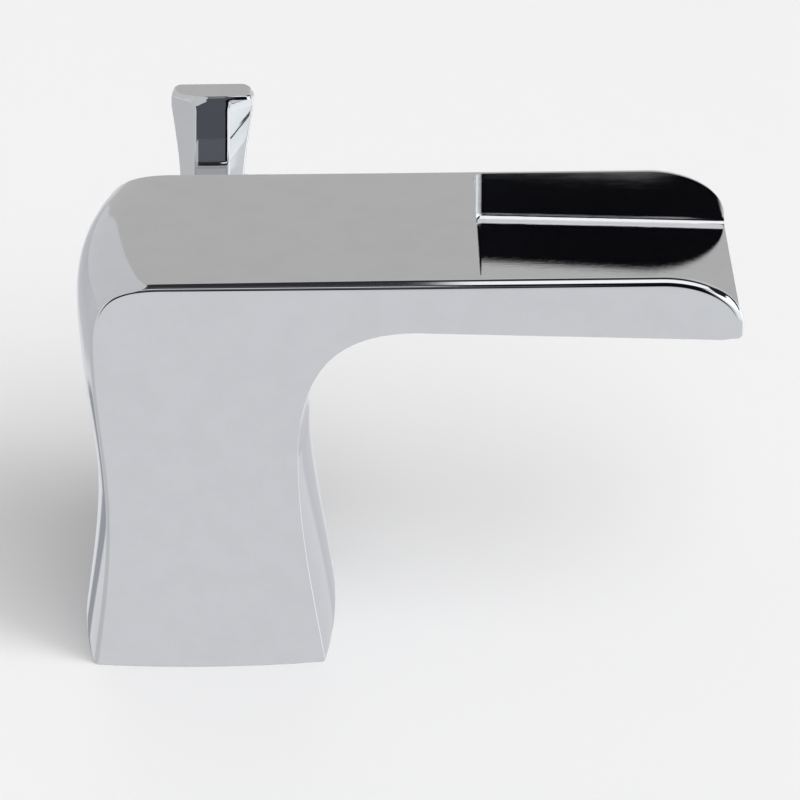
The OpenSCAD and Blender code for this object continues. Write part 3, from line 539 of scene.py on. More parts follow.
class SideView:
    """Stations along the casting from the foot over the shoulder to the tip.

    Each station has a point on the outer line, which is the back and the top, and one on the
    inner line, which is the front, the throat and the underside.
    """

    # Stretches as (rows, stations): lower column, upper column, shoulder, top, spout, nose, tip, corner
    STRETCHES = ((26, 9), (22, 7), (36, 10), (12, 4), (30, 1), (26, 9), (3, 1), (6, 1))
    WAIST, TOP, FLAT, NOSE_END, CORNER = 9, 26, 30, 39, 41
    HIGH_SHARE, BEND_SHARE = 0.3, 0.82

    def __init__(self, sizes):
        self.sizes = sizes
        self.half = sizes.depth / 2
        self.slope = math.tan(sizes.fall)
        self.throat_level = sizes.height - sizes.spout_depth
        self.nose_start = sizes.reach - sizes.nose_length
        corner = sizes.reach - sizes.edge
        self.corner = Vector((corner, self.under(corner) + sizes.edge / math.cos(sizes.fall)))
        self.lines = [self.station(*place) for place in self.places()]
        self.rows = len(self.lines) - 1
        self.normals = [self.normal(i) for i in range(len(self.lines))]
        self.ways = [self.way(i) for i in range(len(self.lines))]

    def places(self):
        """(stretch, share of it, station number) of each row."""
        found = [(0, 0.0, 0.0)]
        first = 0
        for stretch, (rows, stations) in enumerate(self.STRETCHES):
            found += [(stretch, i / rows, first + stations * i / rows) for i in range(1, rows + 1)]
            first += stations
        return found

    def under(self, x):
        return self.throat_level - self.slope * (x - self.sizes.throat_end)

    def floor(self, x):
        return self.under(x) + self.sizes.trough_floor

    def round_tip(self, turn):
        """Point of the rounded corner below the tip, turned down from the tip's face."""
        return self.corner + Vector((math.cos(turn), -math.sin(turn))) * self.sizes.edge

    def station(self, stretch, share, number):
        s = self.sizes
        foot, back, front = s.foot / 2 / MM, s.waist_back / MM, s.waist_front / MM
        shoulder, height = s.shoulder_back / MM, s.height / MM
        throat = self.throat_level / MM
        back_low = ((-foot, 0), (-foot + 2.2, 14), (-back, 30), (-back, 48))
        back_high = ((-back, 48), (-back, 63), (-shoulder, 73), (-shoulder, 90))
        bend = ((-shoulder, 90), (-shoulder, height - 5),
                (-shoulder + 3.6, height), (-shoulder + 18, height))
        front_low = ((foot, 0), (foot - 2, 17), (front, 36), (front, 58))
        throat_line = ((front, 58), (front - 0.1, throat - 11),
                       (front + 9, throat), (s.throat_end / MM, throat))
        quarter = math.pi / 2 + s.fall
        end = self.round_tip(quarter)
        nose_end = end.x - 2 * MM
        if stretch == 0:
            outer, inner = cubic(back_low, share), cubic(front_low, share)
        elif stretch == 1:
            outer, inner = cubic(back_high, share), cubic(throat_line, self.HIGH_SHARE * share)
        elif stretch == 2:
            done = self.HIGH_SHARE + (self.BEND_SHARE - self.HIGH_SHARE) * share
            outer, inner = cubic(bend, share), cubic(throat_line, done)
        elif stretch == 3:
            done = self.BEND_SHARE + (1 - self.BEND_SHARE) * share
            start = (18 - shoulder) * MM
            outer = Vector((start + (s.throat_end - start) * share, s.height))
            inner = cubic(throat_line, done)
        elif stretch == 4:
            x = s.throat_end + (self.nose_start - s.throat_end) * share
            outer, inner = Vector((x, s.height)), Vector((x, self.under(x)))
        elif stretch == 5:
            angle = math.pi / 2 * share
            x = self.nose_start + s.nose_length * math.sin(angle)
            outer = Vector((x, s.height - s.nose_drop * (1 - math.cos(angle))))
            x = self.nose_start + (nose_end - self.nose_start) * share
            inner = Vector((x, self.under(x)))
        elif stretch == 6:
            top = s.height - s.nose_drop
            outer = Vector((s.reach, top + (self.corner.y - top) * share))
            x = nose_end + (end.x - nose_end) * share
            inner = Vector((x, self.under(x)))
        else:
            outer = self.round_tip(quarter / 2 * share)
            inner = self.round_tip(quarter * (1 - share / 2))
        return outer, inner, number

    def normal(self, i):
        """Outward directions of the two lines at a row."""
        before, after = self.lines[max(i - 1, 0)], self.lines[min(i + 1, self.rows)]
        number = self.lines[i][2]
        if number > self.CORNER - 0.01:
            return tuple((p - self.corner).normalized() for p in self.lines[i][:2])
        along_outer = (after[0] - before[0]).normalized()
        along_inner = (after[1] - before[1]).normalized()
        level = number <= self.WAIST
        outer = Vector((-1, 0)) if level else Vector((-along_outer.y, along_outer.x))
        inner = Vector((1, 0)) if level else Vector((along_inner.y, -along_inner.x))
        return outer, inner

    def way(self, i):
        """Directions of the crowns at a row: level up to the flat top."""
        outer, inner = self.normals[i]
        return (Vector((-1, 0)) if self.lines[i][2] <= self.FLAT else outer), inner

    @staticmethod
    def fade(number, start, end):
        return clamped((number - start) / (end - start))

    def crowns(self, number):
        s = self.sizes
        rise = self.fade(number, self.WAIST, self.TOP) ** 0.8
        outer = s.back_crown + (s.shoulder_crown - s.back_crown) * rise
        outer *= 1 - self.fade(number, self.TOP, self.FLAT)
        inner = s.front_crown * (1 - self.fade(number, self.WAIST, self.TOP)) ** 1.5
        return outer, inner

    def bulge(self, point):
        """How far the side faces stand out at a place of the side view."""
        across = max(0.0, 1 - (2 * point.x / self.sizes.foot) ** 2)
        up = max(0.0, 1 - point.y / (40 * MM)) ** 2
        return self.sizes.side_crown * across * up

    def radius(self, row, line):
        """Rounding of a long edge: the two sizes run into each other below the tip."""
        s = self.sizes
        blend = smooth(self.fade(self.lines[row][2], self.NOSE_END, self.CORNER))
        return (s.under_edge + (s.edge - s.under_edge) * blend) if line else s.edge

    def seam(self, row, line):
        """Where a crowned face meets its rounded edge: half width, tilt and crown there."""
        crown = self.crowns(self.lines[row][2])[line]
        half = self.half
        radius = self.radius(row, line)
        tilt = 0.0
        for _ in range(6):
            y = half - radius * (1 - math.sin(tilt))
            tilt = math.atan(2 * crown * y / half ** 2)
        return y, tilt, crown * (1 - (y / half) ** 2)

    def face(self, row, share, line):
        """Point of the outer face (line 0) or inner face (line 1) at a share of its width."""
        point, number = self.lines[row][line], self.lines[row][2]
        y = self.seam(row, line)[0] * share
        point = point + self.ways[row][line] * self.crowns(number)[line] * (1 - (y / self.half) ** 2)
        return Vector((point.x, y, point.y))

    def rounded(self, row, share, line, hand):
        """Point of the rounded edge at a share from the crowned face to the side face."""
        _, tilt, crown = self.seam(row, line)
        radius = self.radius(row, line)
        turn = tilt + (math.pi / 2 - tilt) * share
        point = self.lines[row][line] + self.ways[row][line] * crown
        point -= self.normals[row][line] * radius * (math.cos(tilt) - math.cos(turn))
        stand = self.bulge(point) * share
        return Vector((point.x, hand * (self.half - radius * (1 - math.sin(turn)) + stand), point.y))

    def side(self, row, share, hand):
        """Point of a side face at a share from the outer to the inner rounded edge."""
        a, b = self.rounded(row, 1, 0, hand), self.rounded(row, 1, 1, hand)
        point = Vector((a.x, a.z)).lerp(Vector((b.x, b.z)), share)
        return Vector((point.x, hand * (self.half + self.bulge(point)), point.y))


def casting_skin(view):
    """The closed outer skin of the casting, with rounded edges."""
    across, down, turns = 20, 8, 6
    bm = bmesh.new()
    for line in (0, 1):
        sheet(bm, view.rows, across, lambda r, c: view.face(r, -1 + 2 * c / across, line))
        for hand in (-1, 1):
            sheet(bm, view.rows, turns, lambda r, c: view.rounded(r, c / turns, line, hand))
    for hand in (-1, 1):
        sheet(bm, view.rows, down, lambda r, c: view.side(r, c / down, hand))
    bmesh.ops.remove_doubles(bm, verts=bm.verts, dist=4e-6)
    bmesh.ops.dissolve_degenerate(bm, edges=bm.edges, dist=TINY)
    foot = [edge for edge in bm.edges if edge.is_boundary]
    if any(vert.co.z > TINY for edge in foot for vert in edge.verts):
        raise RuntimeError("the skin is open above the foot")
    bmesh.ops.holes_fill(bm, edges=foot, sides=0)
    bmesh.ops.recalc_face_normals(bm, faces=bm.faces)
    around = [edge for edge in bm.edges if max(vert.co.z for vert in edge.verts) < TINY]
    round_edges(bm, around, 0.35 * MM, 2)
    return bm


def trough_cutter(view, material):
    """The open trough, with a falling floor and rounded corners."""
    sizes = view.sizes
    bm = bmesh.new()
    inner = view.half - sizes.trough_wall
    end = sizes.reach + 5 * MM
    box_cutter(bm, (sizes.trough_start, -inner, 0), (end, inner, sizes.height + 4 * MM))
    for vert in bm.verts:
        if vert.co.z < sizes.height:
            vert.co.z = view.floor(vert.co.x)
    back = [edge for edge in bm.edges
            if upright(edge) and edge.verts[0].co.x < sizes.reach]
    round_edges(bm, back, sizes.trough_corner, 8)
    bottom = [
        edge for edge in bm.edges
        if all(vert.co.z < view.floor(vert.co.x) + TINY for vert in edge.verts)
        and min(vert.co.x for vert in edge.verts) < sizes.reach]
    round_edges(bm, bottom, sizes.trough_fillet, 6)
    return to_object(bm, "trough_cutter", material)


class MIXER_OT_body_casting(bpy.types.Operator):
    """Builds the chromed casting: column, spout, trough and the hollows for the inner pieces"""

    bl_idname = "mixer.body_casting"
    bl_label = "Casting"

    def execute(self, context):
        sizes = context.scene.mixer_body
        finish = context.scene.mixer_finish
        handle = context.scene.mixer_handle
        view = SideView(sizes)
        plate = chrome("chrome_plate", finish.chrome)
        trough = chrome("chrome_trough", finish.chrome, brushed=True)
        raw = brass("cast_brass", finish.brass)
        # Brighter than the faces' chrome: a painted highlight along the trough's rim
        edge = satin_highlight_edge("satin_highlight_edge", (0.93, 0.93, 0.94))
        casting = to_object(casting_skin(view), "casting", plate)

        carve(casting, trough_cutter(view, trough))
        inner = view.half - sizes.trough_wall

        def on_rim(edge):
            kinds = {face.material_index for face in edge.link_faces}
            outside = max(abs(vert.co.y) for vert in edge.verts) < inner + 1e-5
            above = min(vert.co.z - view.floor(vert.co.x) for vert in edge.verts) > 1.5 * MM
            return len(kinds) == 2 and outside and above

        casting.data.materials.append(edge)
        if not chamfer_where(casting, on_rim, 0.36 * MM, 2, material=2):
            raise RuntimeError("the trough has no rim")

        for cutter in self.hollows(view, handle, raw):
            carve(casting, cutter)
        shaded(casting)
        mount_piece(casting, "root", "chrome_body", "body_casting")
        return {"FINISHED"}

    def hollows(self, view, handle, raw):
        """The channel, the foot's cavity and groove, the bores and the cartridge's pocket."""
        sizes = view.sizes
        mouth = view.floor(sizes.trough_start) + 0.4 * MM
        width = sizes.channel_width / 2
        wall = -view.half
        axis = handle_axis(handle, view.half - POCKET_DEPTH)
        level = Matrix.Identity(4)
        middle = handle.along - 1 * MM
        inlets = [middle + x * MM for x in (-8.5, 8.5)]

        yield block("channel_cutter", raw, (handle.along - 8.2 * MM, -width, mouth),
                    (sizes.trough_start + 1 * MM, width, mouth + sizes.channel_height))
        yield block("cavity_cutter", raw, mm(-20.5, -21.5, -1), mm(20.5, 21.5, 30), 5 * MM, 8)
        yield block("hollow_cutter", raw, (-19 * MM, wall + 4.6 * MM, 29 * MM),
                    (19 * MM, wall + 11.2 * MM, 86 * MM), 1 * MM, 3)
        groove = block("groove_cutter", raw, mm(-25.3, -26.3, -1), mm(25.3, 26.3, 2), 8.8 * MM, 12)
        carve(groove, block("groove_core", raw, mm(-22.3, -23.3, -2), mm(22.3, 23.3, 3),
                            5.8 * MM, 12))
        yield groove

        for stretch in (mm(17.7, 0, 28.8, 0, 0), mm(18.5, 16.45, 28.9, 0, 0)):
            yield rods("pocket_cutter", raw, axis, 128, stretch)
        pins = [mm(2.1, -3.2, 1, x, 3.5) for x in (-12.8, 12.8)]
        supplies = [mm(2.5, -8.1, 1, x, -3.2) for x in (-5.6, 5.6)]
        yield rods("port_cutter", raw, axis, 32, *pins, *supplies, mm(3, -14.1, 1, 0, 7))

        rise = (4.2 * MM, 53.2 * MM, mouth + 1 * MM, handle.along, -12 * MM)
        yield rods("bore_cutter", raw, level, 48,
                   *(mm(3.2, 40, 70.5) + (x, -6 * MM) for x in inlets), rise)
        stud = mm(3.4, 29, 41) + (middle, 10 * MM)
        yield rods("thread_cutter", raw, level, 48,
                   *(mm(4.5, 29, 42) + (x, -6 * MM) for x in inlets), stud)


def handle_axis(handle, place):
    """A frame whose Z runs outwards along the lever's axis, from a place along Y."""
    return (Matrix.Translation((handle.along, place, handle.level))
            @ Matrix.Rotation(-math.pi / 2, 4, "X"))


def spindle_axis(handle, place):
    """The same frame, tilted as the spindle is at rest."""
    return handle_axis(handle, place) @ Matrix.Rotation(handle.rest_tilt, 4, "X")


def screw_axis(spindle):
    """A frame whose Z runs along the screw, square to the tilted spindle."""
    return spindle @ Matrix.Translation((0, 0, SCREW_PLACE)) @ Matrix.Rotation(-math.pi / 2, 4, "Y")


class MIXER_OT_flow_comb(bpy.types.Operator):
    """Builds the moulded comb in the channel's mouth"""

    bl_idname = "mixer.flow_comb"
    bl_label = "Flow comb"

    def execute(self, context):
        sizes = context.scene.mixer_body
        low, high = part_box("flow_guide")
        vane = 1 * MM
        cells = sizes.vanes
        pitch = (high.y - low.y - vane) / cells
        across = [low.y]
        for i in range(cells):
            across += [low.y + vane + i * pitch, low.y + (i + 1) * pitch]
        across.append(high.y)
        up = [low.z, low.z + vane, high.z - vane, high.z]
        bm = bmesh.new()
        sheet(bm, 3, len(across) - 1, lambda r, c: Vector((low.x, across[c], up[r])))
        open_cells = [
            face for face in bm.faces
            if up[1] < face.calc_center_median().z < up[2]
            and face.calc_area() > 2 * vane * (up[2] - up[1])]
        bmesh.ops.delete(bm, geom=open_cells, context="FACES_ONLY")
        grown = bmesh.ops.extrude_face_region(bm, geom=bm.faces[:], use_keep_orig=True)
        moved = [item for item in grown["geom"] if isinstance(item, bmesh.types.BMVert)]
        bmesh.ops.translate(bm, vec=(high.x - low.x, 0, 0), verts=moved)
        bmesh.ops.recalc_face_normals(bm, faces=bm.faces)
        round_edges(bm, [edge for edge in bm.edges if creased(edge)], 0.16 * MM, 2)
        white = moulded("white_plastic", context.scene.mixer_finish.white, 0.4)
        comb = shaded(to_object(bm, "flow_comb", white))
        mount_piece(comb, "root", "white_plastic", "flow_guide")
        return {"FINISHED"}


class MIXER_OT_dome_cover(bpy.types.Operator):
    """Turns the dome over the nut, with a rounded lip"""

    bl_idname = "mixer.dome_cover"
    bl_label = "Dome"

    def execute(self, context):
        handle = context.scene.mixer_handle
        half = context.scene.mixer_body.depth / 2
        inner = handle.dome - handle.dome_wall
        base = math.radians(89.9)
        lip = handle.dome_opening + math.radians(1.4)
        profile = arc(handle.dome, lip, base, 40)
        profile += arc(inner, base, lip, 40)
        middle = handle.dome - handle.dome_wall / 2
        rounding = handle.dome_wall / 2
        for i in range(1, 8):
            turn = math.pi * i / 8
            reach = middle - rounding * math.cos(turn)
            profile.append(polar(reach, lip - rounding * math.sin(turn) / middle))
        plate = chrome("chrome_dome", context.scene.mixer_finish.chrome)
        dome = shaded(turned("dome_cover", plate, handle_axis(handle, half), profile))
        mount_piece(dome, "root", "chrome_trim", "dome_cap")
        return {"FINISHED"}


class Blade:
    """Cross-sections of the lever: a stem in front of two wings, under a flared cap.

    A section is made of two sides, each from the middle of the front to the middle of the back.
    """

    FLAT, ROUND, WING, TIP, SIDE, CORNER, BACK = 7, 6, 8, 8, 3, 6, 4
    # Cut of the front corner and of the back corner of the cap, and the bow of its front edge
    LEFT = ((3.3, 4.1), (1.3, 2.0), 2.9)
    RIGHT = ((1.3, 1.5), (2.2, 2.6), 0.5)

    def __init__(self, handle, half):
        self.handle = handle
        self.half = half
        self.bottom = handle.level + 13 * MM
        self.length = handle.top - self.bottom

    def width(self, z):
        """Half width at a height: straight neck, flare, and drawn in at the very top."""
        h = self.handle
        flare_start, flare_length, end, draw = mm(27, 22, 3.5, 0.8)
        grown = clamped((z - h.top + flare_start) / flare_length)
        wide = (h.flare - h.neck) / 2
        over = max(0.0, (z - h.top + end) / end)
        return h.neck / 2 + wide * grown * grown * (1.6 - 0.6 * grown) - draw * over * over

    def cap_share(self, z):
        """How far the section has grown into the cap's plan."""
        start, span = mm(3.0, 1.9)
        return clamped((z - self.handle.top + start) / span) ** 2.4

    def front(self, z):
        """Gap in front of the stem: it bends towards the casting, then leans away from it."""
        h = self.handle
        slope, top = 0.185, h.top
        root, bend, foot_gap = mm(84, 107, 9.7)
        if z > bend:
            return h.gap - slope * (top - z)
        t = max(0.0, (z - root) / (bend - root))
        near = h.gap - slope * (top - bend)
        rise = slope * (bend - root) * (t ** 3 - t * t)
        return foot_gap + (near - foot_gap) * smooth(t) + rise

    def ending(self, w, depth, top, cut):
        """The side face, the back corner and half of the back, from a depth on."""
        x, y = cut
        points = [(w, top + (depth - y - top) * i / self.SIDE) for i in range(self.SIDE)]
        turns = [math.pi / 2 * i / self.CORNER for i in range(self.CORNER)]
        points += [(w - x + x * math.cos(t), depth - y + y * math.sin(t)) for t in turns]
        return points + [((w - x) * (1 - i / self.BACK), depth) for i in range(self.BACK + 1)]

    def slim(self, z, w, depth):
        """One side of the stem and its wing."""
        h = self.handle
        widening, span, more = mm(4.2, 2.6, 0.9)
        s = h.stem / 2 + more * clamped((z - h.top + widening) / span) ** 3
        corner, bend, joint, tip, wing = mm(0.8, 70, 2.4, 0.8, 2.2)
        flat = s - corner
        start = math.asin(flat / bend)
        radius = (s - flat) / (1 - math.sin(start))
        level = flat * flat / (2 * bend)
        points = [(x, x * x / (2 * bend)) for x in (flat * i / self.FLAT for i in range(self.FLAT))]
        for i in range(self.ROUND):
            t = start + (math.pi / 2 - start) * i / (self.ROUND - 1)
            points.append((s - radius * (1 - math.sin(t)),
                           level + radius * (math.cos(start) - math.cos(t))))
        crease, end = Vector((s, joint)), Vector((w, depth - wing))
        stop, rise = end - (end - crease).normalized() * tip, end + Vector((0, tip))
        points += [crease.lerp(stop, i / self.WING) for i in range(self.WING)]
        for i in range(self.TIP):
            t = i / self.TIP
            points.append(stop.lerp(end, t).lerp(end.lerp(rise, t), t))
        return points + self.ending(w, depth, rise.y, (tip, tip))

    def cap(self, w, depth, shape):
        """One side of the cap's plan."""
        (x, y), back, bow = shape
        x, y, bow, stem = mm(x, y, bow, 5.2)
        straight = w - x
        count = self.FLAT + self.ROUND
        along = [stem * i / count for i in range(count)]
        along += [stem + (straight - stem) * i / self.WING for i in range(self.WING)]
        points = [(at, bow * (at / w) ** 2) for at in along]
        level = bow * (straight / w) ** 2
        turns = [math.pi / 2 * i / self.TIP for i in range(self.TIP)]
        points += [(straight + x * math.sin(t), level + y * (1 - math.cos(t))) for t in turns]
        return points + self.ending(w, depth, level + y, mm(*back))

    def outline(self, z, inset):
        """The whole closed section at a height."""
        h = self.handle
        w = self.width(z)
        share = self.cap_share(z)
        depth = h.lever_depth + 0.4 * MM * (1 - (z - self.bottom) / self.length)
        slim = [Vector(p) for p in self.slim(z, w, depth)]
        left, right = (
            [a.lerp(Vector(b), share) for a, b in zip(slim, self.cap(w, h.lever_depth - 0.7 * MM, shape))]
            for shape in (self.LEFT, self.RIGHT))
        ring = [Vector((-p.x, p.y)) for p in reversed(left[1:-1])] + right
        middle = Vector((0.0, depth / 2))
        return [middle + (p - middle) * (1 - inset / w) for p in ring]

    def place(self, point, z):
        """A point of a section in the shared frame, with the lever's sideways lean."""
        h = self.handle
        shift = math.tan(h.lean) * (z - h.top + 11.5 * MM)
        return Vector((h.along + shift + point.x, self.half + self.front(z) + point.y, z))


class MIXER_OT_lever(bpy.types.Operator):
    """Builds the handle: the hub's shell, its boss and the flared lever"""

    bl_idname = "mixer.lever"
    bl_label = "Lever"

    def execute(self, context):
        handle = context.scene.mixer_handle
        half = context.scene.mixer_body.depth / 2
        plate = chrome("chrome_lever", context.scene.mixer_finish.chrome, 0.03)
        raw = brass("lever_bore", context.scene.mixer_finish.brass)
        axis = handle_axis(handle, half)
        spindle = spindle_axis(handle, half)

        hub = self.hub(handle, axis, plate)
        lever = self.blade(Blade(handle, half), plate)
        carve(lever, ball(raw, axis, handle.hub_inner, 96, 64))
        carve(hub, lever, "UNION")
        boss = (6.6 * MM, 12 * MM, handle.hub_inner + 1 * MM, 0, 0)
        carve(hub, rods("boss", raw, spindle, 64, boss), "UNION")
        square = 3.6 * MM
        carve(hub, block("socket_cutter", raw, (-square, -square, 11 * MM),
                         (square, square, handle.hub_outer - 1.5 * MM), 0.3 * MM, 2, spindle))
        side = screw_axis(spindle)
        carve(hub, rods("screw_cutter", raw, side, 32, mm(2.05, 0, 7.6, 0, 0)))
        seat = (handle.plug / 2 + 0.05 * MM, 7.1 * MM, handle.hub_outer, 0, 0)
        carve(hub, rods("plug_cutter", raw, side, 48, seat))
        hub.name = "lever"
        shaded(hub)
        hub.visible_glossy = False
        mount_piece(hub, "lever", "chrome_trim", "handle")
        return {"FINISHED"}

    def hub(self, handle, axis, plate):
        edge = handle.hub_angle
        soft = 0.5 * MM
        profile = arc(handle.hub_outer, 0.0, edge - soft / handle.hub_outer, 48)
        for i in range(1, 6):
            turn = math.pi / 2 * i / 5
            reach = handle.hub_outer - soft * (1 - math.cos(turn))
            profile.append(polar(reach, edge - soft * (1 - math.sin(turn)) / handle.hub_outer))
        profile += arc(handle.hub_inner, edge, 0.0, 48)
        return turned("hub", plate, axis, profile)

    def blade(self, blade, plate):
        top = blade.handle.top
        soft = 0.45 * MM
        fine, step = mm(5, 0.25)
        levels = [(blade.bottom + (top - fine - blade.bottom) * i / 34, 0.0) for i in range(35)]
        levels += [(top - fine + step * i, 0.0) for i in range(1, 17)]
        levels += [(top - soft + soft * math.sin(math.pi / 2 * i / 5),
                    soft * (1 - math.cos(math.pi / 2 * i / 5))) for i in range(6)]
        rings = [[blade.place(p, z) for p in blade.outline(z, inset)] for z, inset in levels]
        count = len(rings[0])
        bm = bmesh.new()
        sheet(bm, len(rings) - 1, count, lambda r, c: rings[r][c % count])
        bmesh.ops.remove_doubles(bm, verts=bm.verts, dist=1e-7)
        loops = [edge for edge in bm.edges if edge.is_boundary]
        bmesh.ops.holes_fill(bm, edges=loops, sides=0)
        return to_object(bm, "blade", plate)


class MIXER_OT_index_plug(bpy.types.Operator):
    """Builds the plug over the screw hole, flush with the hub"""

    bl_idname = "mixer.index_plug"
    bl_label = "Plug"

    def execute(self, context):
        handle = context.scene.mixer_handle
        half = context.scene.mixer_body.depth / 2
        dark = moulded("index_plastic", context.scene.mixer_finish.index, 0.16, 0.5)
        spindle = spindle_axis(handle, half)
        plug = rods("index_button", dark, screw_axis(spindle), 64,
                    (handle.plug / 2, 6.7 * MM, handle.hub_outer, 0, 0))
        carve(plug, ball(dark, spindle, handle.hub_outer - 0.1 * MM, 128, 96), "INTERSECT")
        carve(plug, ball(dark, spindle, handle.hub_inner + 0.1 * MM, 128, 96))
        centre = spindle.translation

        def on_rim(edge):
            reach = handle.hub_outer - 0.25 * MM
            return creased(edge) and all((vert.co - centre).length > reach for vert in edge.verts)

        chamfer_where(plug, on_rim, 0.25 * MM, 3)
        shaded(plug)
        mount_piece(plug, "lever", "index_plastic", "index_plug")
        return {"FINISHED"}


class MIXER_OT_inner_finishes(bpy.types.Operator):
    """Gives the pieces inside their finishes"""

    bl_idname = "mixer.inner_finishes"
    bl_label = "Inner pieces"

    def execute(self, context):
        finish = context.scene.mixer_finish
        handle = context.scene.mixer_handle
        centre = Vector((handle.along, 0, handle.level))
        groups = {
            rubber("rubber", finish.rubber): (
                "base_gasket", "inlet_port_seals", "outlet_port_seal", "disc_seals",
                "turret_seal", "dome_seal"),
            moulded("cartridge_plastic", finish.cartridge, 0.42): (
                "cartridge_base", "cartridge_housing"),
            ceramic("ceramic", finish.ceramic): ("fixed_disc", "moving_disc"),
            moulded("carrier_plastic", finish.carrier, 0.38): ("disc_carrier", "turret"),
            turned_metal("brass", finish.brass, centre): ("spindle", "retaining_nut"),
            turned_metal("steel", finish.steel, centre): ("spindle_pin", "grub_screw"),
            moulded("ring_plastic", finish.ring, 0.36): ("temperature_ring",),
            moulded("slip_plastic", finish.white, 0.45): ("slip_ring",),
        }
        for material, names in groups.items():
            for name in names:
                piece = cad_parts[name]
                piece.data.materials.clear()
                piece.data.materials.append(material)
        return {"FINISHED"}


class MIXER_OT_stage(bpy.types.Operator):
    """Sets the camera, the floor, the room light and lamps, and a glowing dome of painted reflections"""

    bl_idname = "mixer.stage"
    bl_label = "Stage"

    def execute(self, context):
        stage = context.scene.mixer_stage
        self.camera(context, stage)
        self.floor(context, stage)
        self.painted_surroundings(context)
        self.light(context, stage)
        context.scene.view_settings.view_transform = "Standard"
        return {"FINISHED"}

    def camera(self, context, stage):
        down, roll = stage.elevation, stage.roll
        ahead = Vector((0, math.cos(down), -math.sin(down)))
        up = Vector((0, math.sin(down), math.cos(down)))
        right = Vector((1, 0, 0))
        turn = Matrix.Rotation(stage.azimuth, 3, "Z")
        ahead, up, right = turn @ ahead, turn @ up, turn @ right
        level = right * math.cos(roll) + up * math.sin(roll)
        rise = up * math.cos(roll) - right * math.sin(roll)
        data = bpy.data.cameras.new("camera")
        data.lens = stage.lens
        data.sensor_width = 36
        data.sensor_fit = "HORIZONTAL"
        data.clip_end = 20
        camera = bpy.data.objects.new("camera", data)
        context.scene.collection.objects.link(camera)
        matrix = Matrix((level, rise, -ahead)).transposed().to_4x4()
        matrix.translation = Vector(stage.target) - ahead * stage.distance
        camera.matrix_world = matrix
        context.scene.camera = camera

    def floor(self, context, stage):
        shader = new_shader("pale_floor")
        cloud = shader.noise(3.0, 2.0)
        tint = shader.mix(cloud, rgba(stage.floor), rgba(stage.floor, 0.985))
        material = shader.surface(Base_Color=tint, Roughness=0.32, Specular_IOR_Level=0.25)
        bm = bmesh.new()
        made = bmesh.ops.create_grid(bm, x_segments=1, y_segments=1, size=1.0)
        bmesh.ops.scale(bm, vec=(2.0, 0.89, 1.0), verts=made["verts"])
        bmesh.ops.translate(bm, vec=(0, 0.63, 0), verts=made["verts"])
        floor = to_object(bm, "floor", material, outward=False)
        # The floor is hidden from reflections: the dome paints its reflection, with its shade, instead
        floor.visible_glossy = False

    def painted_surroundings(self, context):
        """What the chrome mirrors, painted on a glowing dome that only reflections see: a light tent with
        a grey backdrop and a dark gap above it, and the floor below.

        A direction is told by how far it leans across (to +X) and by its turn, in degrees from
        the backdrop's horizon over the top to the front.
        """
        shader = new_shader("painted_reflection_dome")
        place = shader.node("ShaderNodeVectorMath", {"operation": "NORMALIZE"},
                            {0: shader.place()})
        parts = shader.node("ShaderNodeSeparateXYZ", None, {"Vector": place}).socket.node
        across, y, z = (Value(shader, parts.outputs[i]) for i in range(3))
        turn = z.math("ARCTAN2", y) * (180 / math.pi)
        front = z.math("ARCTAN2", y * -1.0) * (180 / math.pi)

        beyond = across.step(0.26, 0.30) * (1 - turn.step(46, 50))
        window = across.step(0.02, 0.04) * turn.band(88, 142, 2.0)
        aside = across.step(0.4, 0.5) * (1 - z.step(0.4, 0.45)) + across.step(0.855, 0.87)
        near = 1 - across.step(0.02, 0.04)
        facing = 1 - across.step(0.06, 0.09)
        left = (turn.step(12, 36) * 0.19 - 0.345 - across).step(-0.004, 0.004)
        # Above the horizon: painted reflections of the tent, its bright strips and windows, and its dark
        # gaps
        above = shader.layers(
            rgba((0.615, 0.61, 0.6)),
            (turn.step(46, 50), (0.04, 0.04, 0.042)),
            (turn.band(39, 46, 1.0), (0.9, 0.9, 0.9)),
            (beyond, (0.75, 0.75, 0.79)),
            (front.band(-60, 47, 2.0), (0.006, 0.006, 0.008)),
            (window, (1.35, 1.35, 1.36)),
            (across.step(0.62, 0.66), (0.02, 0.02, 0.022)),
            (aside * front.band(-8, 134, 2.0), (1.6, 1.65, 1.67)),
            (front.band(-8, 47, 2.0) * near, (0.085, 0.092, 0.111)),
            (front.band(14, 22, 1.5) * near, (1.1, 1.1, 1.1)),
            (front.band(2, 9, 1.0) * facing, (0.15, 0.158, 0.18)),
            (left, (0.75, 0.75, 0.775)))

        # Below the horizon: a painted reflection of the floor, which reflections don't see, with painted
        # shade on its darker parts and a painted shadow band
        middle = 1 - across.math("ABSOLUTE").step(0.3, 0.4)
        low = facing * z.step(-0.17, -0.13)
        dark = shader.layers(rgba((0.004, 0.004, 0.005)), (low, (0.1, 0.108, 0.125)))
        below = shader.mix(front.band(-24, 10, 2.0) * middle, rgba((0.86, 0.87, 0.895)), dark)
        behind = turn.band(-60, 0, 4.0)
        # Painted shade: the floor's reflection darkened where the floor lies in shade
        painted_shade = behind * ((1 - across.step(-0.33, -0.3)) * z.step(-0.505, -0.49)
                           + across.band(0.1, 0.27, 0.02))
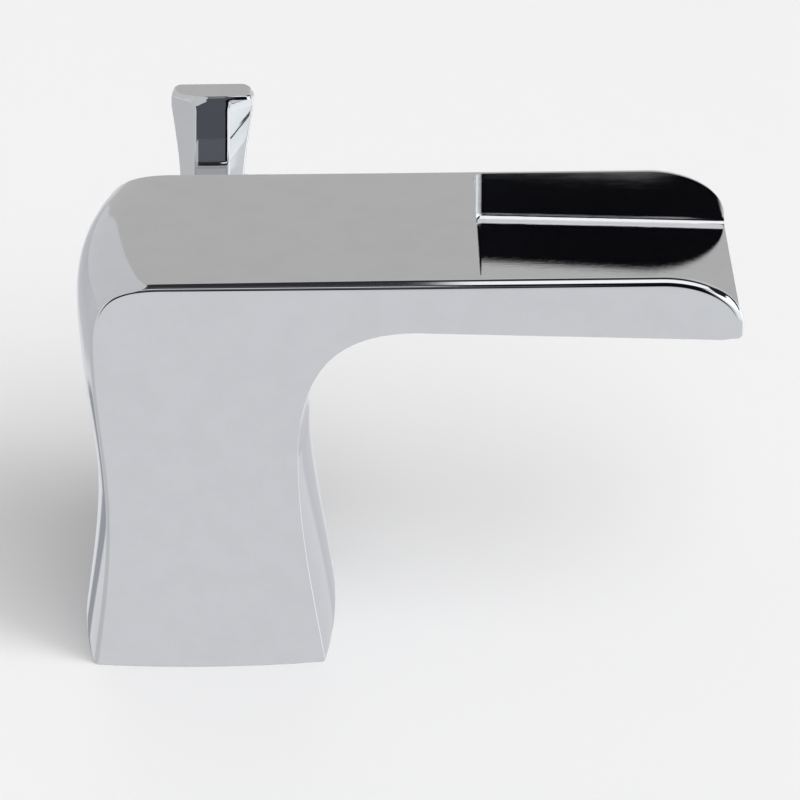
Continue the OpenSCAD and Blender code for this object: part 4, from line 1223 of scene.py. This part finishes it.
        # Painted shadow: the reflection of the floor's shadow left of the column
        shadow = behind * across.band(-0.36, -0.25, 0.012) * (1 - z.step(-0.515, -0.505))
        right = across.step(0.55, 0.7)
        below = shader.layers(
            below,
            (behind, (0.75, 0.76, 0.79)),
            (painted_shade, (0.62, 0.63, 0.67)),
            (shadow, (0.35, 0.36, 0.4)),
            (right * behind, (1.55, 1.6, 1.62)),
            (right * z.step(-0.36, -0.24) * (1 - behind), (1.22, 1.26, 1.28)),
            (1 - across.step(-0.8, -0.55), (0.7, 0.7, 0.71)))
        colour = shader.mix(z.step(-0.02, 0.0), below, above)
        light = shader.node("ShaderNodeEmission", None, {"Color": colour, "Strength": 1.0})
        shader.node("ShaderNodeOutputMaterial", None, {"Surface": light})
        bm = bmesh.new()
        bmesh.ops.create_icosphere(bm, subdivisions=5, radius=6.0)
        dome = to_object(bm, "painted_reflection_dome", shader.owner, outward=False)
        # The dome glows but lights nothing: camera, diffuse and shadow rays pass it, so it is seen only
        # as painted reflections
        for ray in ("camera", "diffuse", "shadow", "transmission"):
            setattr(dome, "visible_" + ray, False)

    def light(self, context, stage):
        world = bpy.data.worlds.new("room")
        context.scene.world = world
        shader = Shader(world)
        even = shader.node("ShaderNodeBackground", None,
                           {"Color": (1, 1, 1, 1), "Strength": stage.room_light})
        shader.node("ShaderNodeOutputWorld", None, {"Surface": even})
        for name, strength, width, way in (("key", stage.key_light, 34, (1.0, -0.42, 0.62)),
                                           ("fill", stage.fill_light, 50, (0.5, -0.8, 1.2))):
            data = bpy.data.lights.new(name, "SUN")
            data.energy = strength
            data.angle = math.radians(width)
            lamp = bpy.data.objects.new(name, data)
            context.scene.collection.objects.link(lamp)
            lamp.matrix_world = Vector(way).to_track_quat("Z", "Y").to_matrix().to_4x4()
            lamp.visible_glossy = False
            lamp.visible_camera = False


class MIXER_PT_panel(bpy.types.Panel):
    """Sizes and steps of the mixer"""

    bl_idname = "MIXER_PT_panel"
    bl_label = "Basin mixer"
    bl_space_type = "VIEW_3D"
    bl_region_type = "UI"
    bl_category = "Mixer"

    def draw(self, context):
        layout = self.layout
        scene = context.scene
        for title, group in (("Casting", scene.mixer_body), ("Handle", scene.mixer_handle),
                             ("Finishes", scene.mixer_finish), ("Stage", scene.mixer_stage)):
            column = layout.column(align=True)
            column.label(text=title)
            for name in group.bl_rna.properties.keys():
                if name not in ("rna_type", "name"):
                    column.prop(group, name)
        for step in STEPS:
            layout.operator(step.bl_idname)


GROUPS = {
    "mixer_body": MixerBody,
    "mixer_handle": MixerHandle,
    "mixer_finish": MixerFinish,
    "mixer_stage": MixerStage,
}
STEPS = (
    MIXER_OT_stage,
    MIXER_OT_body_casting,
    MIXER_OT_flow_comb,
    MIXER_OT_dome_cover,
    MIXER_OT_lever,
    MIXER_OT_index_plug,
    MIXER_OT_inner_finishes,
)
CLASSES = tuple(GROUPS.values()) + STEPS + (MIXER_PT_panel,)


def register():
    for item in CLASSES:
        bpy.utils.register_class(item)
    for name, group in GROUPS.items():
        setattr(bpy.types.Scene, name, PointerProperty(type=group))


def unregister():
    for name in GROUPS:
        delattr(bpy.types.Scene, name)
    for item in reversed(CLASSES):
        bpy.utils.unregister_class(item)


def main():
    register()
    bpy.ops.mixer.stage()
    bpy.ops.mixer.body_casting()
    bpy.ops.mixer.flow_comb()
    bpy.ops.mixer.dome_cover()
    bpy.ops.mixer.lever()
    bpy.ops.mixer.index_plug()
    bpy.ops.mixer.inner_finishes()
    bpy.context.view_layer.update()


if __name__ == "__main__":
    main()
